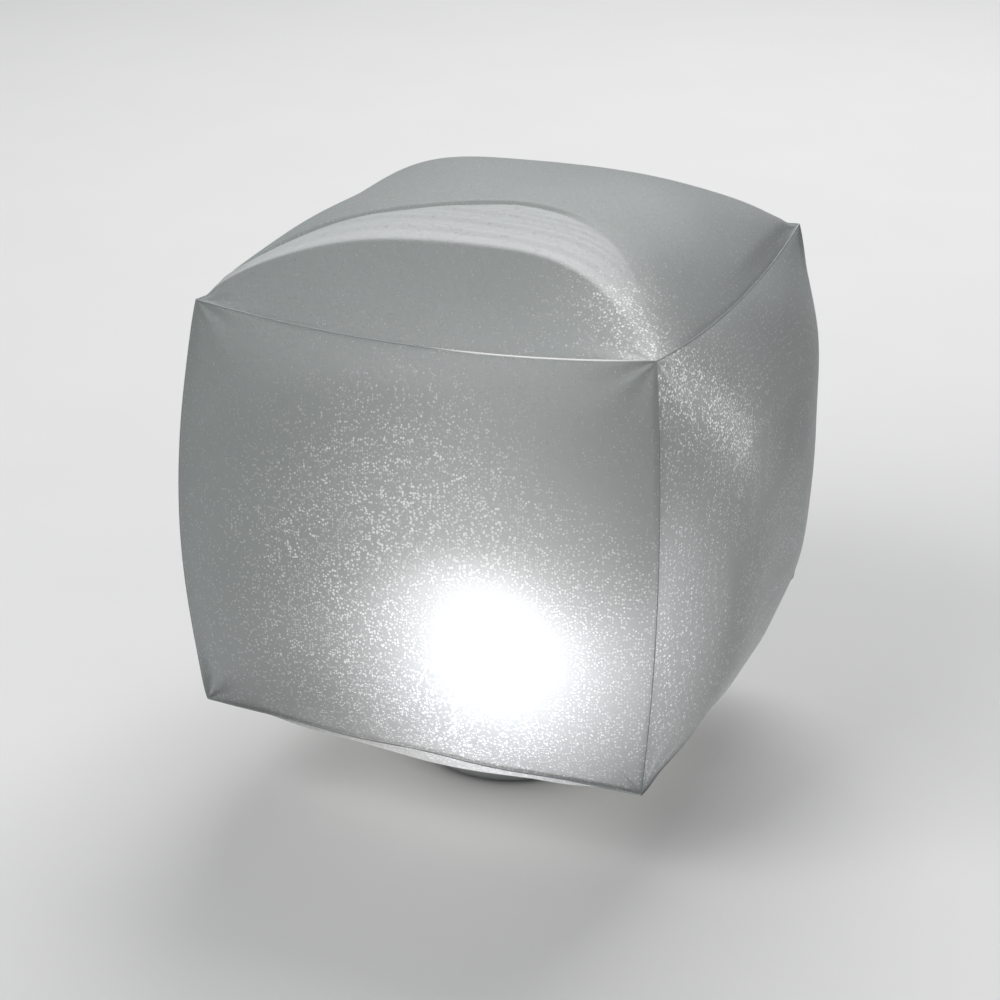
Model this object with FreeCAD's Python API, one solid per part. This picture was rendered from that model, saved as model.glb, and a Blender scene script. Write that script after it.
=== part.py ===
"""Inflatable cube light: a welded film cube, blown up through a valve, on a battery lamp that plugs
into a socket in its bottom panel. Millimetres, +Z up, the front panel faces -Y, and the origin is on
the lamp's standing ring, under the middle of the cube."""
import FreeCAD
import Part

import math
import os

from FreeCAD import Vector

# ---- film cube -----------------------------------------------------------------------------
HALF_WIDTH = 90.0          # from the axis to a corner, along X and along Y
CORNER_HEIGHT = 166.0       # from the bottom corners to the top corners
SIDE_BULGE = 17.0           # how far a side panel's middle stands out past its corners
TOP_BULGE = 29.5
BOTTOM_BULGE = 25.0
BULGE_POWER = 4.0           # 2 is a dome; higher is flatter in the middle and steeper at the seams
UPRIGHT_SEAM_DEPTH = 5.4      # how far the middle of a seam stands out past its corners
LEVEL_SEAM_DEPTH = 1.8
TOP_SEAM_DEPTH = 5.6          # the middle of a top seam lies this far under its corners
BOTTOM_SEAM_DEPTH = 1.6
FILM = 0.35                 # film thickness
POLES = 25                  # spline poles along each side of a panel
WELD_WIDTH = 4.0            # welded seam allowance, turned inside
WELD_GAP = 0.1

# ---- lamp socket in the bottom panel ---------------------------------------------------------
LAMP_DROP = 20.0            # from the bottom panel's flat middle down to the standing ring
SOCKET_WALL = 4.0
SOCKET_LIP = 3.0            # how far the socket stands out under the film
SOCKET_DEPTH = 12.0         # height of the whole socket ring
SOCKET_FLANGE = 4.0         # width of the welded flange, on the inside of the film
FLANGE_THICKNESS = 1.0
POCKET_WALL = 1.2
POCKET_HEADROOM = 5.0       # between the lens and the pocket's roof
POCKET_SIDE_GAP = 0.6       # from the socket bore out to the pocket's inside
POCKET_BEND = 9.0
RUN_GAP = 0.3               # between pieces that slide or turn past each other
SNUG = 0.02                 # between pieces that locate each other

# ---- twist lock --------------------------------------------------------------------------------
LOCK_TWIST = 35.0           # degrees from released to locked
LUG_COUNT = 3
LUG_ANGLE = 12.0
LUG_HEIGHT = 2.2
LUG_REACH = 2.3
LUG_SIDE_GAP = 1.5          # degrees of play at each side of a lug
LOCK_SLEEVE_WALL = 1.8
GRIP_RADIUS = 39.6
GRIP_HEIGHT = 5.9
GRIP_NOTCHES = 24
GRIP_NOTCH_RADIUS = 1.6
GRIP_NOTCH_DEPTH = 0.7
GRIP_ROUND = 0.8

# ---- lamp housing --------------------------------------------------------------------------------
BODY_WALL = 1.8
BODY_CLEARANCE = 0.784      # between the wall and the nearest corner of a contact plate
COVER_RADIUS = 39.2
BODY_FLANGE_INSET = 0.4     # the flange is this much slimmer than the cover under it
BODY_FLANGE_RADIUS = COVER_RADIUS - BODY_FLANGE_INSET
BODY_FLANGE = 2.0
COVER_HEIGHT = 8.0
COVER_WALL = 2.2
COVER_FLOOR = 2.0
BEND_HEIGHT = 6.0           # where the dish's bend ends and its upright wall starts
BEND_FULLNESS = 0.55        # 0.55 is close to a quarter circle
STAND_OUTER = 31.5          # outer and inner radius of the ring that the lamp stands on
STAND_INNER = 28.7
STAND_HEIGHT = 1.0
SPIGOT_WALL = 2.4
SPIGOT_HEIGHT = 4.0         # above the cover's rim
SEAL_CORD = 0.9             # radius of the cover's round seal
SEAL_GROOVE_PLAY = 0.2
DECK = 1.6
BODY_RIM = 2.0              # wall standing above the deck

# ---- battery bay -------------------------------------------------------------------------------
CELL_RADIUS = 5.25
CELL_LENGTH = 43.7
CELL_NUB = 0.8
CELL_NUB_RADIUS = 1.9
CELL_COUNT = 3
CELL_SPRING = 2.4           # room for the bent leaf behind a cell's flat end
BAY_CLEARANCE = 0.15
TRAY_PLATE = 1.2
TRAY_WALL = 1.2
RIB_THICKNESS = 0.8
RIB_DROP = 7.0
RIB_INSET = 4.0             # the ribs stop this short of the contacts
CONTACT_SHEET = 0.3
CONTACT_WIDTH = 8.0
CONTACT_HEIGHT = 8.5
LEAF_SHEET = 0.4
LEAF_WIDTH = 5.0
LEAF_HALF = 3.5

# ---- fasteners -------------------------------------------------------------------------------------
SCREW_X = 21.0
SCREW_Y = 14.0
SCREW_RADIUS = 1.2
SCREW_HEAD_RADIUS = 2.3
SCREW_HEAD = 1.4
SCREW_BITE = 6.0
SCREW_BOSS = 3.0
COVER_POST = 3.4
SCREW_SLOT = 0.6

# ---- light engine --------------------------------------------------------------------------------
BOARD_RADIUS = 27.0
BOARD = 1.6
STANDOFF = 1.6
STANDOFF_RADIUS = 2.5
SCREW_RING_RADIUS = 22.0
BOARD_SCREW_RADIUS = 0.8
BOARD_SCREW_HEAD_RADIUS = 1.7
BOARD_SCREW_HEAD = 1.2
BOARD_SCREW_COUNT = 3
CHIP = 5.0
CHIP_HEIGHT = 1.6
CHIP_COUNT = 4
CHIP_RING_RADIUS = 7.5
CHIP_WINDOW = 1.8           # radius of the resin's window, and its recess
CHIP_RECESS = 0.4
DRIVER_X = 6.0
DRIVER_Y = 5.0
DRIVER_HEIGHT = 1.2
RESISTOR = 1.6
RESISTOR_HEIGHT = 0.6
RESISTOR_PITCH = 4.0
REFLECTOR_WALL = 0.8
REFLECTOR_MOUTH = 14.0
REFLECTOR_RISE = 5.0
REFLECTOR_OUTER = 26.0
LENS_FOOT = 1.4
LENS_WALL = 1.8
LENS_RISE = 12.0
LENS_BEND = 11.0            # radius of the dome's shoulder
LENS_EDGE = 0.2
LENS_STEP = 1.6             # from the foot's edge in to the dome
LENS_SEAL = 0.5
BEZEL_LIP = 1.2
BEZEL_INSET = 0.1           # the bezel is this much slimmer than the lock ring under it

# ---- switch and button ---------------------------------------------------------------------------
BUTTON_X = 20.6
BUTTON_RADIUS = 3.6
BUTTON_TRAVEL = 0.7
BUTTON_INSET = 0.2          # the button's face lies this far inside the recess
BUTTON_COLLAR = 0.8
BUTTON_COLLAR_WIDTH = 0.8
BUTTON_STEM = 1.5
BOOT_WALL = 0.5
BOOT_RIM = 0.9
BOOT_PAD = 1.0
BOOT_RISE = 3.2
SWITCH_SIDE = 6.0
SWITCH_HEIGHT = 3.6
PLUNGER_RADIUS = 1.5
PLUNGER_REACH = 1.7
SWITCH_BOARD = 1.2
SWITCH_BOARD_X = 7.6
SWITCH_BOARD_Y = 12.0
SWITCH_PLAY = 0.1
POST_X = 3.0
POST_Y = 8.0
LEAD_RADIUS = 0.5
SWITCH_LEAD_RADIUS = 0.45
SWITCH_LEAD_SPREAD = 4.9

# ---- inflation valve ------------------------------------------------------------------------------
VALVE_INSET = 37.0          # from a bottom corner to the valve's axis, along X and along Y
VALVE_X = HALF_WIDTH - VALVE_INSET
VALVE_Y = HALF_WIDTH - VALVE_INSET
VALVE_BORE = 3.7
VALVE_NECK = 5.2
VALVE_NECK_DEPTH = 12.0
VALVE_FLANGE = 12.0
VALVE_FLANGE_THICKNESS = 0.9
VALVE_COLLAR = 7.0
VALVE_COLLAR_HEIGHT = 2.3
CAP_THICKNESS = 1.5
CAP_GAP = 0.2
PLUG_LENGTH = 3.6
PLUG_PLAY = 0.3
PLUG_TAPER = 0.5
STRAP = 1.2
STRAP_WIDTH = 5.0
STRAP_REACH = 11.0          # from the valve's axis to the strap's fold
STRAP_ROOT = 3.0
THUMB_REACH = 2.0
THUMB_HALF = 2.0
FLAP_THICKNESS = 0.7
FLAP_OVERLAP = 0.8
FLAP_LUG_HALF = 1.5         # half the width of the lug that carries the flap
FLAP_LUG_HEIGHT = 2.0
FLAP_PIN_GAP = 0.2
HINGE_ROUND = 0.5
SHEET_LIFT = 0.05           # keeps the valve's flat collar off the curved film

# ---- levels and radii that follow from the sizes above -------------------------------------------
FILM_LEVEL = LAMP_DROP                                   # outside of the bottom film, in its flat middle
CENTRE_LEVEL = FILM_LEVEL + BOTTOM_BULGE + CORNER_HEIGHT / 2
CELL_PITCH = 2 * (CELL_RADIUS + BAY_CLEARANCE) + RIB_THICKNESS
BAY_HALF = (CELL_LENGTH + CELL_NUB + CELL_SPRING) / 2
PLATE_REACH = ((CELL_COUNT - 1) * CELL_PITCH + CONTACT_WIDTH) / 2
BODY_INNER = math.hypot(PLATE_REACH, BAY_HALF + CONTACT_SHEET) + BODY_CLEARANCE
BODY_OUTER = BODY_INNER + BODY_WALL
SLEEVE_INNER = BODY_OUTER + RUN_GAP
SLEEVE_OUTER = SLEEVE_INNER + LOCK_SLEEVE_WALL
SOCKET_BORE = SLEEVE_OUTER + RUN_GAP
SOCKET_OUTER = SOCKET_BORE + SOCKET_WALL
SOCKET_FOOT = FILM_LEVEL - SOCKET_LIP
SOCKET_TOP = SOCKET_FOOT + SOCKET_DEPTH
FLANGE_RADIUS = SOCKET_OUTER + SOCKET_FLANGE
LUG_BOTTOM = FILM_LEVEL + 1.7
LUG_TOP = LUG_BOTTOM + LUG_HEIGHT
FLANGE_TOP = COVER_HEIGHT + BODY_FLANGE
GRIP_BOTTOM = FLANGE_TOP + RUN_GAP
GRIP_TOP = GRIP_BOTTOM + GRIP_HEIGHT
SPIGOT_OUTER = BODY_INNER - RUN_GAP
SPIGOT_INNER = SPIGOT_OUTER - SPIGOT_WALL
SPIGOT_TOP = COVER_HEIGHT + SPIGOT_HEIGHT
FLOOR_BOTTOM = STAND_HEIGHT
FLOOR_TOP = FLOOR_BOTTOM + COVER_FLOOR
CELL_LEVEL = SPIGOT_TOP + RUN_GAP + CELL_RADIUS
TRAY_LEVEL = CELL_LEVEL + CELL_RADIUS + BAY_CLEARANCE
DECK_LEVEL = TRAY_LEVEL + TRAY_PLATE
DECK_TOP = DECK_LEVEL + DECK
BODY_TOP = DECK_TOP + BODY_RIM
SLEEVE_TOP = DECK_TOP - 0.7
BOARD_LEVEL = DECK_TOP + STANDOFF
BOARD_TOP = BOARD_LEVEL + BOARD
LENS_LEVEL = BODY_TOP + LENS_SEAL
LENS_OUTER = BODY_OUTER - LENS_STEP
LENS_INNER = LENS_OUTER - LENS_WALL
LENS_FOOT_TOP = LENS_LEVEL + LENS_FOOT
LENS_TOP = LENS_FOOT_TOP + LENS_RISE
BEZEL_OUTER = SLEEVE_OUTER - BEZEL_INSET
POCKET_INNER = SOCKET_BORE + POCKET_SIDE_GAP
BOSS_FOOT = SPIGOT_TOP + RUN_GAP
SWITCH_LEVEL = FLOOR_TOP + BUTTON_COLLAR + BOOT_RISE + BOOT_PAD + 2 * SWITCH_PLAY + PLUNGER_REACH
SWITCH_BOARD_TOP = SWITCH_LEVEL + SWITCH_HEIGHT + SWITCH_BOARD
PLUG_RADIUS = VALVE_BORE - PLUG_PLAY
CAP_LEVEL = VALVE_COLLAR_HEIGHT + CAP_GAP
STRAP_AXIS = CAP_LEVEL + STRAP / 2
FLAP_REACH = VALVE_NECK + HINGE_ROUND + FLAP_PIN_GAP
FLAP_LEVEL = -VALVE_NECK_DEPTH - SWITCH_PLAY
STEPS = 1e-4                # of a panel's half width, for slopes


def save(node, solids):
    """Write one node; identical pieces share it as separate solids."""
    shape = solids if isinstance(solids, Part.Shape) else Part.Compound(list(solids))
    bad = [s for s in shape.Solids if not s.isValid() or s.Volume <= 0]
    print(f"{node}: {len(shape.Solids)} solid(s), {shape.Volume:.1f} mm3" + (", BAD" if bad else ""))
    shape.exportStep(os.path.join("parts", node + ".step"))


def tube(inner, outer, bottom, top, x=0.0, y=0.0):
    """An upright ring; a solid rod where the inner radius is 0."""
    foot = Vector(x, y, bottom)
    rod = Part.makeCylinder(outer, top - bottom, foot)
    return rod.cut(Part.makeCylinder(inner, top - bottom, foot)) if inner > 0 else rod


def block(x0, x1, y0, y1, z0, z1):
    return Part.makeBox(x1 - x0, y1 - y0, z1 - z0, Vector(x0, y0, z0))


def sector(inner, outer, bottom, top, start, sweep):
    """A slice of an upright ring, from the angle start through sweep degrees."""
    foot, up = Vector(0, 0, bottom), Vector(0, 0, 1)
    slice_ = Part.makeCylinder(outer, top - bottom, foot, up, sweep)
    slice_ = slice_.cut(Part.makeCylinder(inner, top - bottom, foot))
    slice_.rotate(Vector(), up, start)
    return slice_


def turned(points):
    """Turn a closed outline of (radius, height) points about the axis."""
    wire = Part.makePolygon([Vector(r, 0, z) for r, z in points + points[:1]])
    return Part.Face(wire).revolve(Vector(), Vector(0, 0, 1), 360)


def around(count, start=0.0):
    """Evenly spaced angles, in degrees."""
    return [start + 360.0 * i / count for i in range(count)]


def polar(radius, degrees):
    return radius * math.cos(math.radians(degrees)), radius * math.sin(math.radians(degrees))


# ---- the film --------------------------------------------------------------------------------------
def ease(share):
    """0 below 0, 1 above 1, and smooth between."""
    share = min(1.0, max(0.0, share))
    return share * share * (3 - 2 * share)


def flatten(point):
    """The bottom film lies flat where the socket is welded to it, and two poles beyond."""
    spacing = 2 * HALF_WIDTH / (POLES - 3)
    start = FLANGE_RADIUS + 2 * spacing
    level = FILM_LEVEL - CENTRE_LEVEL
    share = ease((math.hypot(point.x, point.y) - start) / (HALF_WIDTH - start))
    return Vector(point.x, point.y, level + (point.z - level) * share)


def film_point(x, y, z):
    """Where a point of the unit cube's surface lies on the blown-up cube, from the cube's centre."""
    half, power = CORNER_HEIGHT / 2, BULGE_POWER
    seam = -TOP_SEAM_DEPTH if z > 0 else BOTTOM_SEAM_DEPTH

    def swell(a, b):
        return (1 - abs(a) ** power) * (1 - abs(b) ** power)

    if abs(z) == 1:
        bulge = TOP_BULGE if z > 0 else BOTTOM_BULGE
        out = seam * (x * x * (1 - y * y) + y * y * (1 - x * x)) + bulge * swell(x, y)
        px = x * (HALF_WIDTH + LEVEL_SEAM_DEPTH * x * x * (1 - y * y))
        py = y * (HALF_WIDTH + LEVEL_SEAM_DEPTH * y * y * (1 - x * x))
        point = Vector(px, py, z * (half + out))
        return flatten(point) if z < 0 else point
    across = y if abs(x) == 1 else x
    bow = UPRIGHT_SEAM_DEPTH * across * across * (1 - z * z)
    out = HALF_WIDTH + bow + LEVEL_SEAM_DEPTH * z * z * (1 - across * across) + SIDE_BULGE * swell(across, z)
    along = across * (HALF_WIDTH + bow)
    up = z * (half + seam * z * z * (1 - across * across))
    return Vector(x * out, along, up) if abs(x) == 1 else Vector(along, y * out, up)


def on_cube(axis, side, s, t):
    """The unit cube's point on the face where coordinate axis is side, at s and t across it."""
    point = [s, t]
    point.insert(axis, side)
    return point


def normal(axis, side, s, t):
    """The film's outward direction there, as seen from that panel."""
    low_s, high_s = max(-1.0, s - STEPS), min(1.0, s + STEPS)
    low_t, high_t = max(-1.0, t - STEPS), min(1.0, t + STEPS)
    along_s = film_point(*on_cube(axis, side, high_s, t)) - film_point(*on_cube(axis, side, low_s, t))
    along_t = film_point(*on_cube(axis, side, s, high_t)) - film_point(*on_cube(axis, side, s, low_t))
    out = along_s.cross(along_t).normalize()
    return out if out.dot(film_point(*on_cube(axis, side, s, t))) > 0 else -out


def inward(point):
    """The step that goes one millimetre in from every panel that meets at a point of the cube."""
    out = []
    for axis in range(3):
        if abs(point[axis]) == 1:
            s, t = (point[i] for i in range(3) if i != axis)
            out.append(normal(axis, point[axis], s, t))
    if len(out) == 1:
        return -out[0]
    if len(out) == 2:
        return -(out[0] + out[1]) / (1 + out[0].dot(out[1]))
    a, b, c = out
    return -(b.cross(c) + c.cross(a) + a.cross(b)) / a.dot(b.cross(c))


def stations():
    """Where the poles sit along a side, from -1 to 1, so that the spline follows the formula."""
    spans = POLES - 3
    knots = [0] * 3 + list(range(spans + 1)) + [spans] * 3
    return [2 * sum(knots[i + 1:i + 4]) / 3 / spans - 1 for i in range(POLES)]


def film_layer(axis, side, depth):
    """The poles of a panel's surface, depth millimetres inside its outer face."""
    places = [-1.0] + stations()[1:-1] + [1.0]
    rows = []
    for s in places:
        row = []
        for t in places:
            point = on_cube(axis, side, s, t)
            row.append(film_point(*point) + inward(point) * depth + Vector(0, 0, CENTRE_LEVEL))
        rows.append(row)
    return rows


def spline(rows):
    """A spline surface on rows of poles, cubic wherever there are enough of them."""
    knots = []
    for count in (len(rows), len(rows[0])):
        degree = min(3, count - 1)
        spans = count - degree
        knots.append((degree, list(range(spans + 1)), [degree + 1] + [1] * (spans - 1) + [degree + 1]))
    (du, ku, mu), (dv, kv, mv) = knots
    surface = Part.BSplineSurface()
    surface.buildFromPolesMultsKnots(rows, mu, mv, ku, kv, False, False, du, dv)
    return surface


def closed(surfaces):
    shell = Part.makeShell([s.toShape() for s in surfaces])
    shell.sewShape()
    solid = Part.Solid(shell)
    if solid.Volume < 0:
        solid.reverse()
    return solid


def layer_solid(outer, inner):
    """The solid between two sets of poles; its four edge faces are the mitres at the seams."""
    edges = [
        [outer[0], inner[0]],
        [outer[-1], inner[-1]],
        [[row[0] for row in outer], [row[0] for row in inner]],
        [[row[-1] for row in outer], [row[-1] for row in inner]],
    ]
    return closed([spline(outer), spline(inner)] + [spline(e) for e in edges])


def film_between(axis, side, outer_depth, inner_depth):
    return layer_solid(film_layer(axis, side, outer_depth), film_layer(axis, side, inner_depth))


def weld_flange(fixed):
    """The seam allowance along one edge: fixed holds two cube coordinates, and None is the one that runs."""
    rows = [[], [], [], []]
    for s in stations()[2:-2]:
        point = [s if v is None else v for v in fixed]
        step = inward(point)
        start = film_point(*point) + step * FILM + Vector(0, 0, CENTRE_LEVEL)
        into = Vector(step).normalize()
        ahead = film_point(*[v + STEPS if f is None else v for v, f in zip(point, fixed)])
        side = into.cross(ahead - film_point(*point)).normalize() * FILM
        near = start + into * (FILM + WELD_GAP)
        far = near + into * WELD_WIDTH
        for row, corner in zip(rows, (near + side, near - side, far - side, far + side)):
            row.append(corner)
    walls = [[rows[i], rows[(i + 1) % 4]] for i in range(4)]
    ends = [[[rows[0][i], rows[1][i]], [rows[3][i], rows[2][i]]] for i in (0, -1)]
    return closed([spline(w) for w in walls + ends])


def weld_flanges():
    edges = [(a, b, None) for a in (-1.0, 1.0) for b in (-1.0, 1.0)]
    edges += [(a, None, b) for a in (-1.0, 1.0) for b in (-1.0, 1.0)]
    edges += [(None, a, b) for a in (-1.0, 1.0) for b in (-1.0, 1.0)]
    return [weld_flange(e) for e in edges]


# ---- the valve, built on its own axis and then set on the film ----------------------------------
def valve_place():
    """Where the valve stands: its origin on the film's outer face, its Z outward, its X away from
    the lamp."""
    surface = spline(film_layer(2, -1.0, 0.0))
    u, v = surface.parameter(Vector(VALVE_X, VALVE_Y, FILM_LEVEL))
    origin, out = surface.value(u, v), surface.normal(u, v)
    if out.z > 0:
        out = -out
    away = Vector(VALVE_X, VALVE_Y, 0)
    away = (away - out * away.dot(out)).normalize()
    turn = FreeCAD.Rotation(away, out.cross(away), out, "ZXY")
    return FreeCAD.Placement(origin, turn)


def placed(shape, place):
    shape = shape.copy()
    shape.Placement = place.multiply(shape.Placement)
    return shape


def valve_body(place):
    """Neck and collar, with a soft flange welded to the inside of the film and the strap's root."""
    neck = tube(VALVE_BORE, VALVE_NECK, -VALVE_NECK_DEPTH, VALVE_COLLAR_HEIGHT)
    collar = tube(VALVE_NECK, VALVE_COLLAR, SHEET_LIFT, VALVE_COLLAR_HEIGHT)
    half = STRAP_WIDTH / 2
    root_start = STRAP_REACH + STRAP / 2 + RUN_GAP
    foot_top = STRAP_AXIS - STRAP / 2 - 2 * RUN_GAP
    foot = block(VALVE_NECK, root_start + STRAP_ROOT, -half, half, SHEET_LIFT, foot_top)
    foot = foot.cut(tube(0, VALVE_NECK, -1.0, VALVE_COLLAR_HEIGHT))
    root = block(STRAP_REACH, root_start + STRAP_ROOT, -half, half, SHEET_LIFT, STRAP_AXIS)
    fold_foot = Vector(STRAP_REACH, -half - 1, STRAP_AXIS)
    fold = Part.makeCylinder(STRAP / 2 + RUN_GAP, STRAP_WIDTH + 2, fold_foot, Vector(0, 1, 0))
    lug_low = FLAP_LEVEL + HINGE_ROUND / 2
    lug_high = lug_low + FLAP_LUG_HEIGHT
    lug_end = FLAP_REACH + HINGE_ROUND
    lug = block(VALVE_NECK - HINGE_ROUND, lug_end, -FLAP_LUG_HALF, FLAP_LUG_HALF, lug_low, lug_high)
    lug = lug.cut(tube(0, (VALVE_BORE + VALVE_NECK) / 2, -2 * VALVE_NECK_DEPTH, 0))
    pin_foot = Vector(FLAP_REACH, -2 * FLAP_LUG_HALF, FLAP_LEVEL - HINGE_ROUND)
    pin_room = Part.makeCylinder(HINGE_ROUND + FLAP_PIN_GAP, 4 * FLAP_LUG_HALF, pin_foot, Vector(0, 1, 0))
    upper = neck.fuse([collar, foot, root.cut(fold), lug.cut(pin_room)]).removeSplitter()
    flange = film_between(2, -1.0, FILM, FILM + VALVE_FLANGE_THICKNESS)
    ring = placed(tube(VALVE_NECK, VALVE_FLANGE, -VALVE_FLANGE, VALVE_FLANGE / 2), place)
    return placed(upper, place).fuse(flange.common(ring))


def valve_hole(place):
    return placed(tube(0, VALVE_NECK, -VALVE_FLANGE, VALVE_FLANGE), place)


def valve_cap(place):
    half = STRAP_WIDTH / 2
    lid = tube(0, VALVE_COLLAR, CAP_LEVEL, CAP_LEVEL + CAP_THICKNESS)
    tip = PLUG_RADIUS - PLUG_TAPER
    plug = Part.makeCone(tip, PLUG_RADIUS, PLUG_LENGTH, Vector(0, 0, CAP_LEVEL - PLUG_LENGTH))
    arm = block(VALVE_COLLAR - 1.0, STRAP_REACH, -half, half, CAP_LEVEL, CAP_LEVEL + STRAP)
    fold = Part.makeCylinder(STRAP / 2, STRAP_WIDTH, Vector(STRAP_REACH, -half, STRAP_AXIS), Vector(0, 1, 0))
    top, edge = CAP_LEVEL + CAP_THICKNESS, -VALVE_COLLAR
    thumb = block(edge - THUMB_REACH, edge + 1, -THUMB_HALF, THUMB_HALF, CAP_LEVEL + RUN_GAP, top)
    return placed(lid.fuse([plug, arm, fold, thumb]).removeSplitter(), place)


def valve_flap(place):
    top = FLAP_LEVEL
    disc = tube(0, VALVE_BORE + FLAP_OVERLAP, top - FLAP_THICKNESS, top)
    half = FLAP_LUG_HALF - FLAP_PIN_GAP
    arm = block(VALVE_BORE, FLAP_REACH, -half, half, top - FLAP_THICKNESS, top - SWITCH_PLAY)
    fold_foot = Vector(FLAP_REACH, -half, top - HINGE_ROUND)
    fold = Part.makeCylinder(HINGE_ROUND, 2 * half, fold_foot, Vector(0, 1, 0))
    return placed(disc.fuse([arm, fold]).removeSplitter(), place)


# ---- the socket and the pocket -----------------------------------------------------------------------
def socket_ring():
    """The welded ring that the lamp locks into, with its L-shaped lug slots."""
    ring = tube(SOCKET_BORE, SOCKET_OUTER, SOCKET_FOOT, SOCKET_TOP)
    weld = tube(SOCKET_BORE, FLANGE_RADIUS, FILM_LEVEL + FILM, FILM_LEVEL + FILM + FLANGE_THICKNESS)
    ring = ring.fuse(weld).removeSplitter()
    depth = SLEEVE_OUTER + LUG_REACH + RUN_GAP
    half = LUG_ANGLE / 2 + LUG_SIDE_GAP
    for angle in around(LUG_COUNT):
        entry = sector(SOCKET_BORE - 1, depth, SOCKET_FOOT - 1, LUG_TOP + RUN_GAP, angle - half, 2 * half)
        run = sector(SOCKET_BORE - 1, depth, LUG_BOTTOM - RUN_GAP, LUG_TOP + RUN_GAP, angle - half,
                     2 * half + LOCK_TWIST)
        ring = ring.cut(entry.fuse(run))
    return ring


def domed(radius, bottom, top, bend):
    """A rod whose top edge is rounded."""
    rod = tube(0, radius, bottom, top)
    rim = [e for e in rod.Edges if len(e.Vertexes) == 1 and e.CenterOfMass.z > (bottom + top) / 2]
    return rod.makeFillet(bend, rim)


def lamp_pocket():
    """The closed clear cup that keeps the air in over the lamp."""
    skirt = SOCKET_OUTER + POCKET_WALL
    seat = FILM_LEVEL + FILM + FLANGE_THICKNESS
    roof = LENS_TOP + POCKET_HEADROOM
    cup = domed(POCKET_INNER + POCKET_WALL, SOCKET_TOP, roof + POCKET_WALL, POCKET_BEND + POCKET_WALL)
    plate = tube(0, skirt, SOCKET_TOP, SOCKET_TOP + POCKET_WALL)
    room = domed(POCKET_INNER, SOCKET_TOP, roof, POCKET_BEND)
    return cup.fuse(plate).cut(room).fuse(tube(SOCKET_OUTER, skirt, seat, SOCKET_TOP)).removeSplitter()


# ---- the lamp's housing ---------------------------------------------------------------------------------
def lock_ring():
    """The captive ring round the lamp: lugs above, a notched grip below."""
    sleeve = tube(SLEEVE_INNER, SLEEVE_OUTER, GRIP_BOTTOM, SLEEVE_TOP)
    rim = tube(0, GRIP_RADIUS, GRIP_BOTTOM, GRIP_TOP)
    rim = rim.makeFillet(GRIP_ROUND, [e for e in rim.Edges if len(e.Vertexes) == 1])
    rim = rim.cut(tube(0, SLEEVE_INNER, 0, GRIP_TOP + 1))
    notch_circle = GRIP_RADIUS + GRIP_NOTCH_RADIUS - GRIP_NOTCH_DEPTH
    notches = []
    for angle in around(GRIP_NOTCHES):
        x, y = polar(notch_circle, angle)
        notches.append(tube(0, GRIP_NOTCH_RADIUS, GRIP_BOTTOM - 1, GRIP_TOP + 1, x, y))
    rim = rim.cut(notches)
    lugs = []
    for angle in around(LUG_COUNT):
        root, tip = SLEEVE_OUTER - LOCK_SLEEVE_WALL / 2, SLEEVE_OUTER + LUG_REACH
        lugs.append(sector(root, tip, LUG_BOTTOM, LUG_TOP, angle - LUG_ANGLE / 2, LUG_ANGLE))
    return rim.fuse([sleeve] + lugs).removeSplitter()


def screw_places():
    return [(sx * SCREW_X, sy * SCREW_Y) for sx in (-1, 1) for sy in (-1, 1)]


def board_screw_places():
    return [polar(SCREW_RING_RADIUS, a) for a in around(BOARD_SCREW_COUNT, 90.0)]


def switch_lead_places():
    return [(BUTTON_X - 1.0, side * SWITCH_LEAD_SPREAD) for side in (-1, 1)]


def supply_lead_place(side):
    """Where a supply lead rises, just outside the terminal at that side: +1 is plus, -1 is minus."""
    x = CELL_PITCH * (CELL_COUNT - 1) / 2 - CONTACT_WIDTH / 4
    return side * x, side * (BAY_HALF + CONTACT_SHEET + LEAD_RADIUS)


def lamp_body():
    """The cup that holds the cells, its deck, its bosses and the flange under the lock ring."""
    body = tube(BODY_INNER, BODY_OUTER, COVER_HEIGHT, BODY_TOP)
    flange = tube(BODY_INNER, BODY_FLANGE_RADIUS, COVER_HEIGHT, FLANGE_TOP)
    deck = tube(0, BODY_INNER, DECK_LEVEL, DECK_TOP)
    post_end = BUTTON_X + SWITCH_BOARD_X / 2
    post = block(post_end - POST_X, post_end, -POST_Y / 2, POST_Y / 2, SWITCH_BOARD_TOP, DECK_LEVEL)
    adds = [flange, deck, post]
    for x, y in screw_places():
        adds.append(tube(0, SCREW_BOSS, BOSS_FOOT, DECK_LEVEL, x, y))
    for x, y in board_screw_places():
        adds.append(tube(0, STANDOFF_RADIUS, DECK_TOP, BOARD_LEVEL, x, y))
    cuts = []
    for x, y in screw_places():
        cuts.append(tube(0, SCREW_RADIUS + SNUG, 0, BOSS_FOOT + SCREW_BITE + RUN_GAP, x, y))
    for x, y in board_screw_places():
        cuts.append(tube(0, BOARD_SCREW_RADIUS + SNUG, DECK_LEVEL, BOARD_LEVEL, x, y))
    for x, y in switch_lead_places():
        cuts.append(tube(0, SWITCH_LEAD_RADIUS + RUN_GAP, DECK_LEVEL - 1, DECK_TOP + 1, x, y))
    for side in (-1, 1):
        cuts.append(tube(0, LEAD_RADIUS + RUN_GAP, DECK_LEVEL - 1, DECK_TOP + 1, *supply_lead_place(side)))
    return body.fuse(adds).removeSplitter().cut(cuts)


def line(*points):
    """Straight edges through (radius, height) points."""
    ends = [Vector(r, 0, z) for r, z in points]
    return [Part.LineSegment(a, b).toShape() for a, b in zip(ends, ends[1:])]


def dish_bend(r0, z0, r1, z1):
    """A bend from (r0, z0), where it leaves flat, to (r1, z1), where it arrives upright."""
    low, bend, high = Vector(r0, 0, z0), Vector(r1, 0, z0), Vector(r1, 0, z1)
    curve = Part.BezierCurve()
    curve.setPoles([low, low + (bend - low) * BEND_FULLNESS, high + (bend - high) * BEND_FULLNESS, high])
    return [curve.toShape()]


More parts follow.
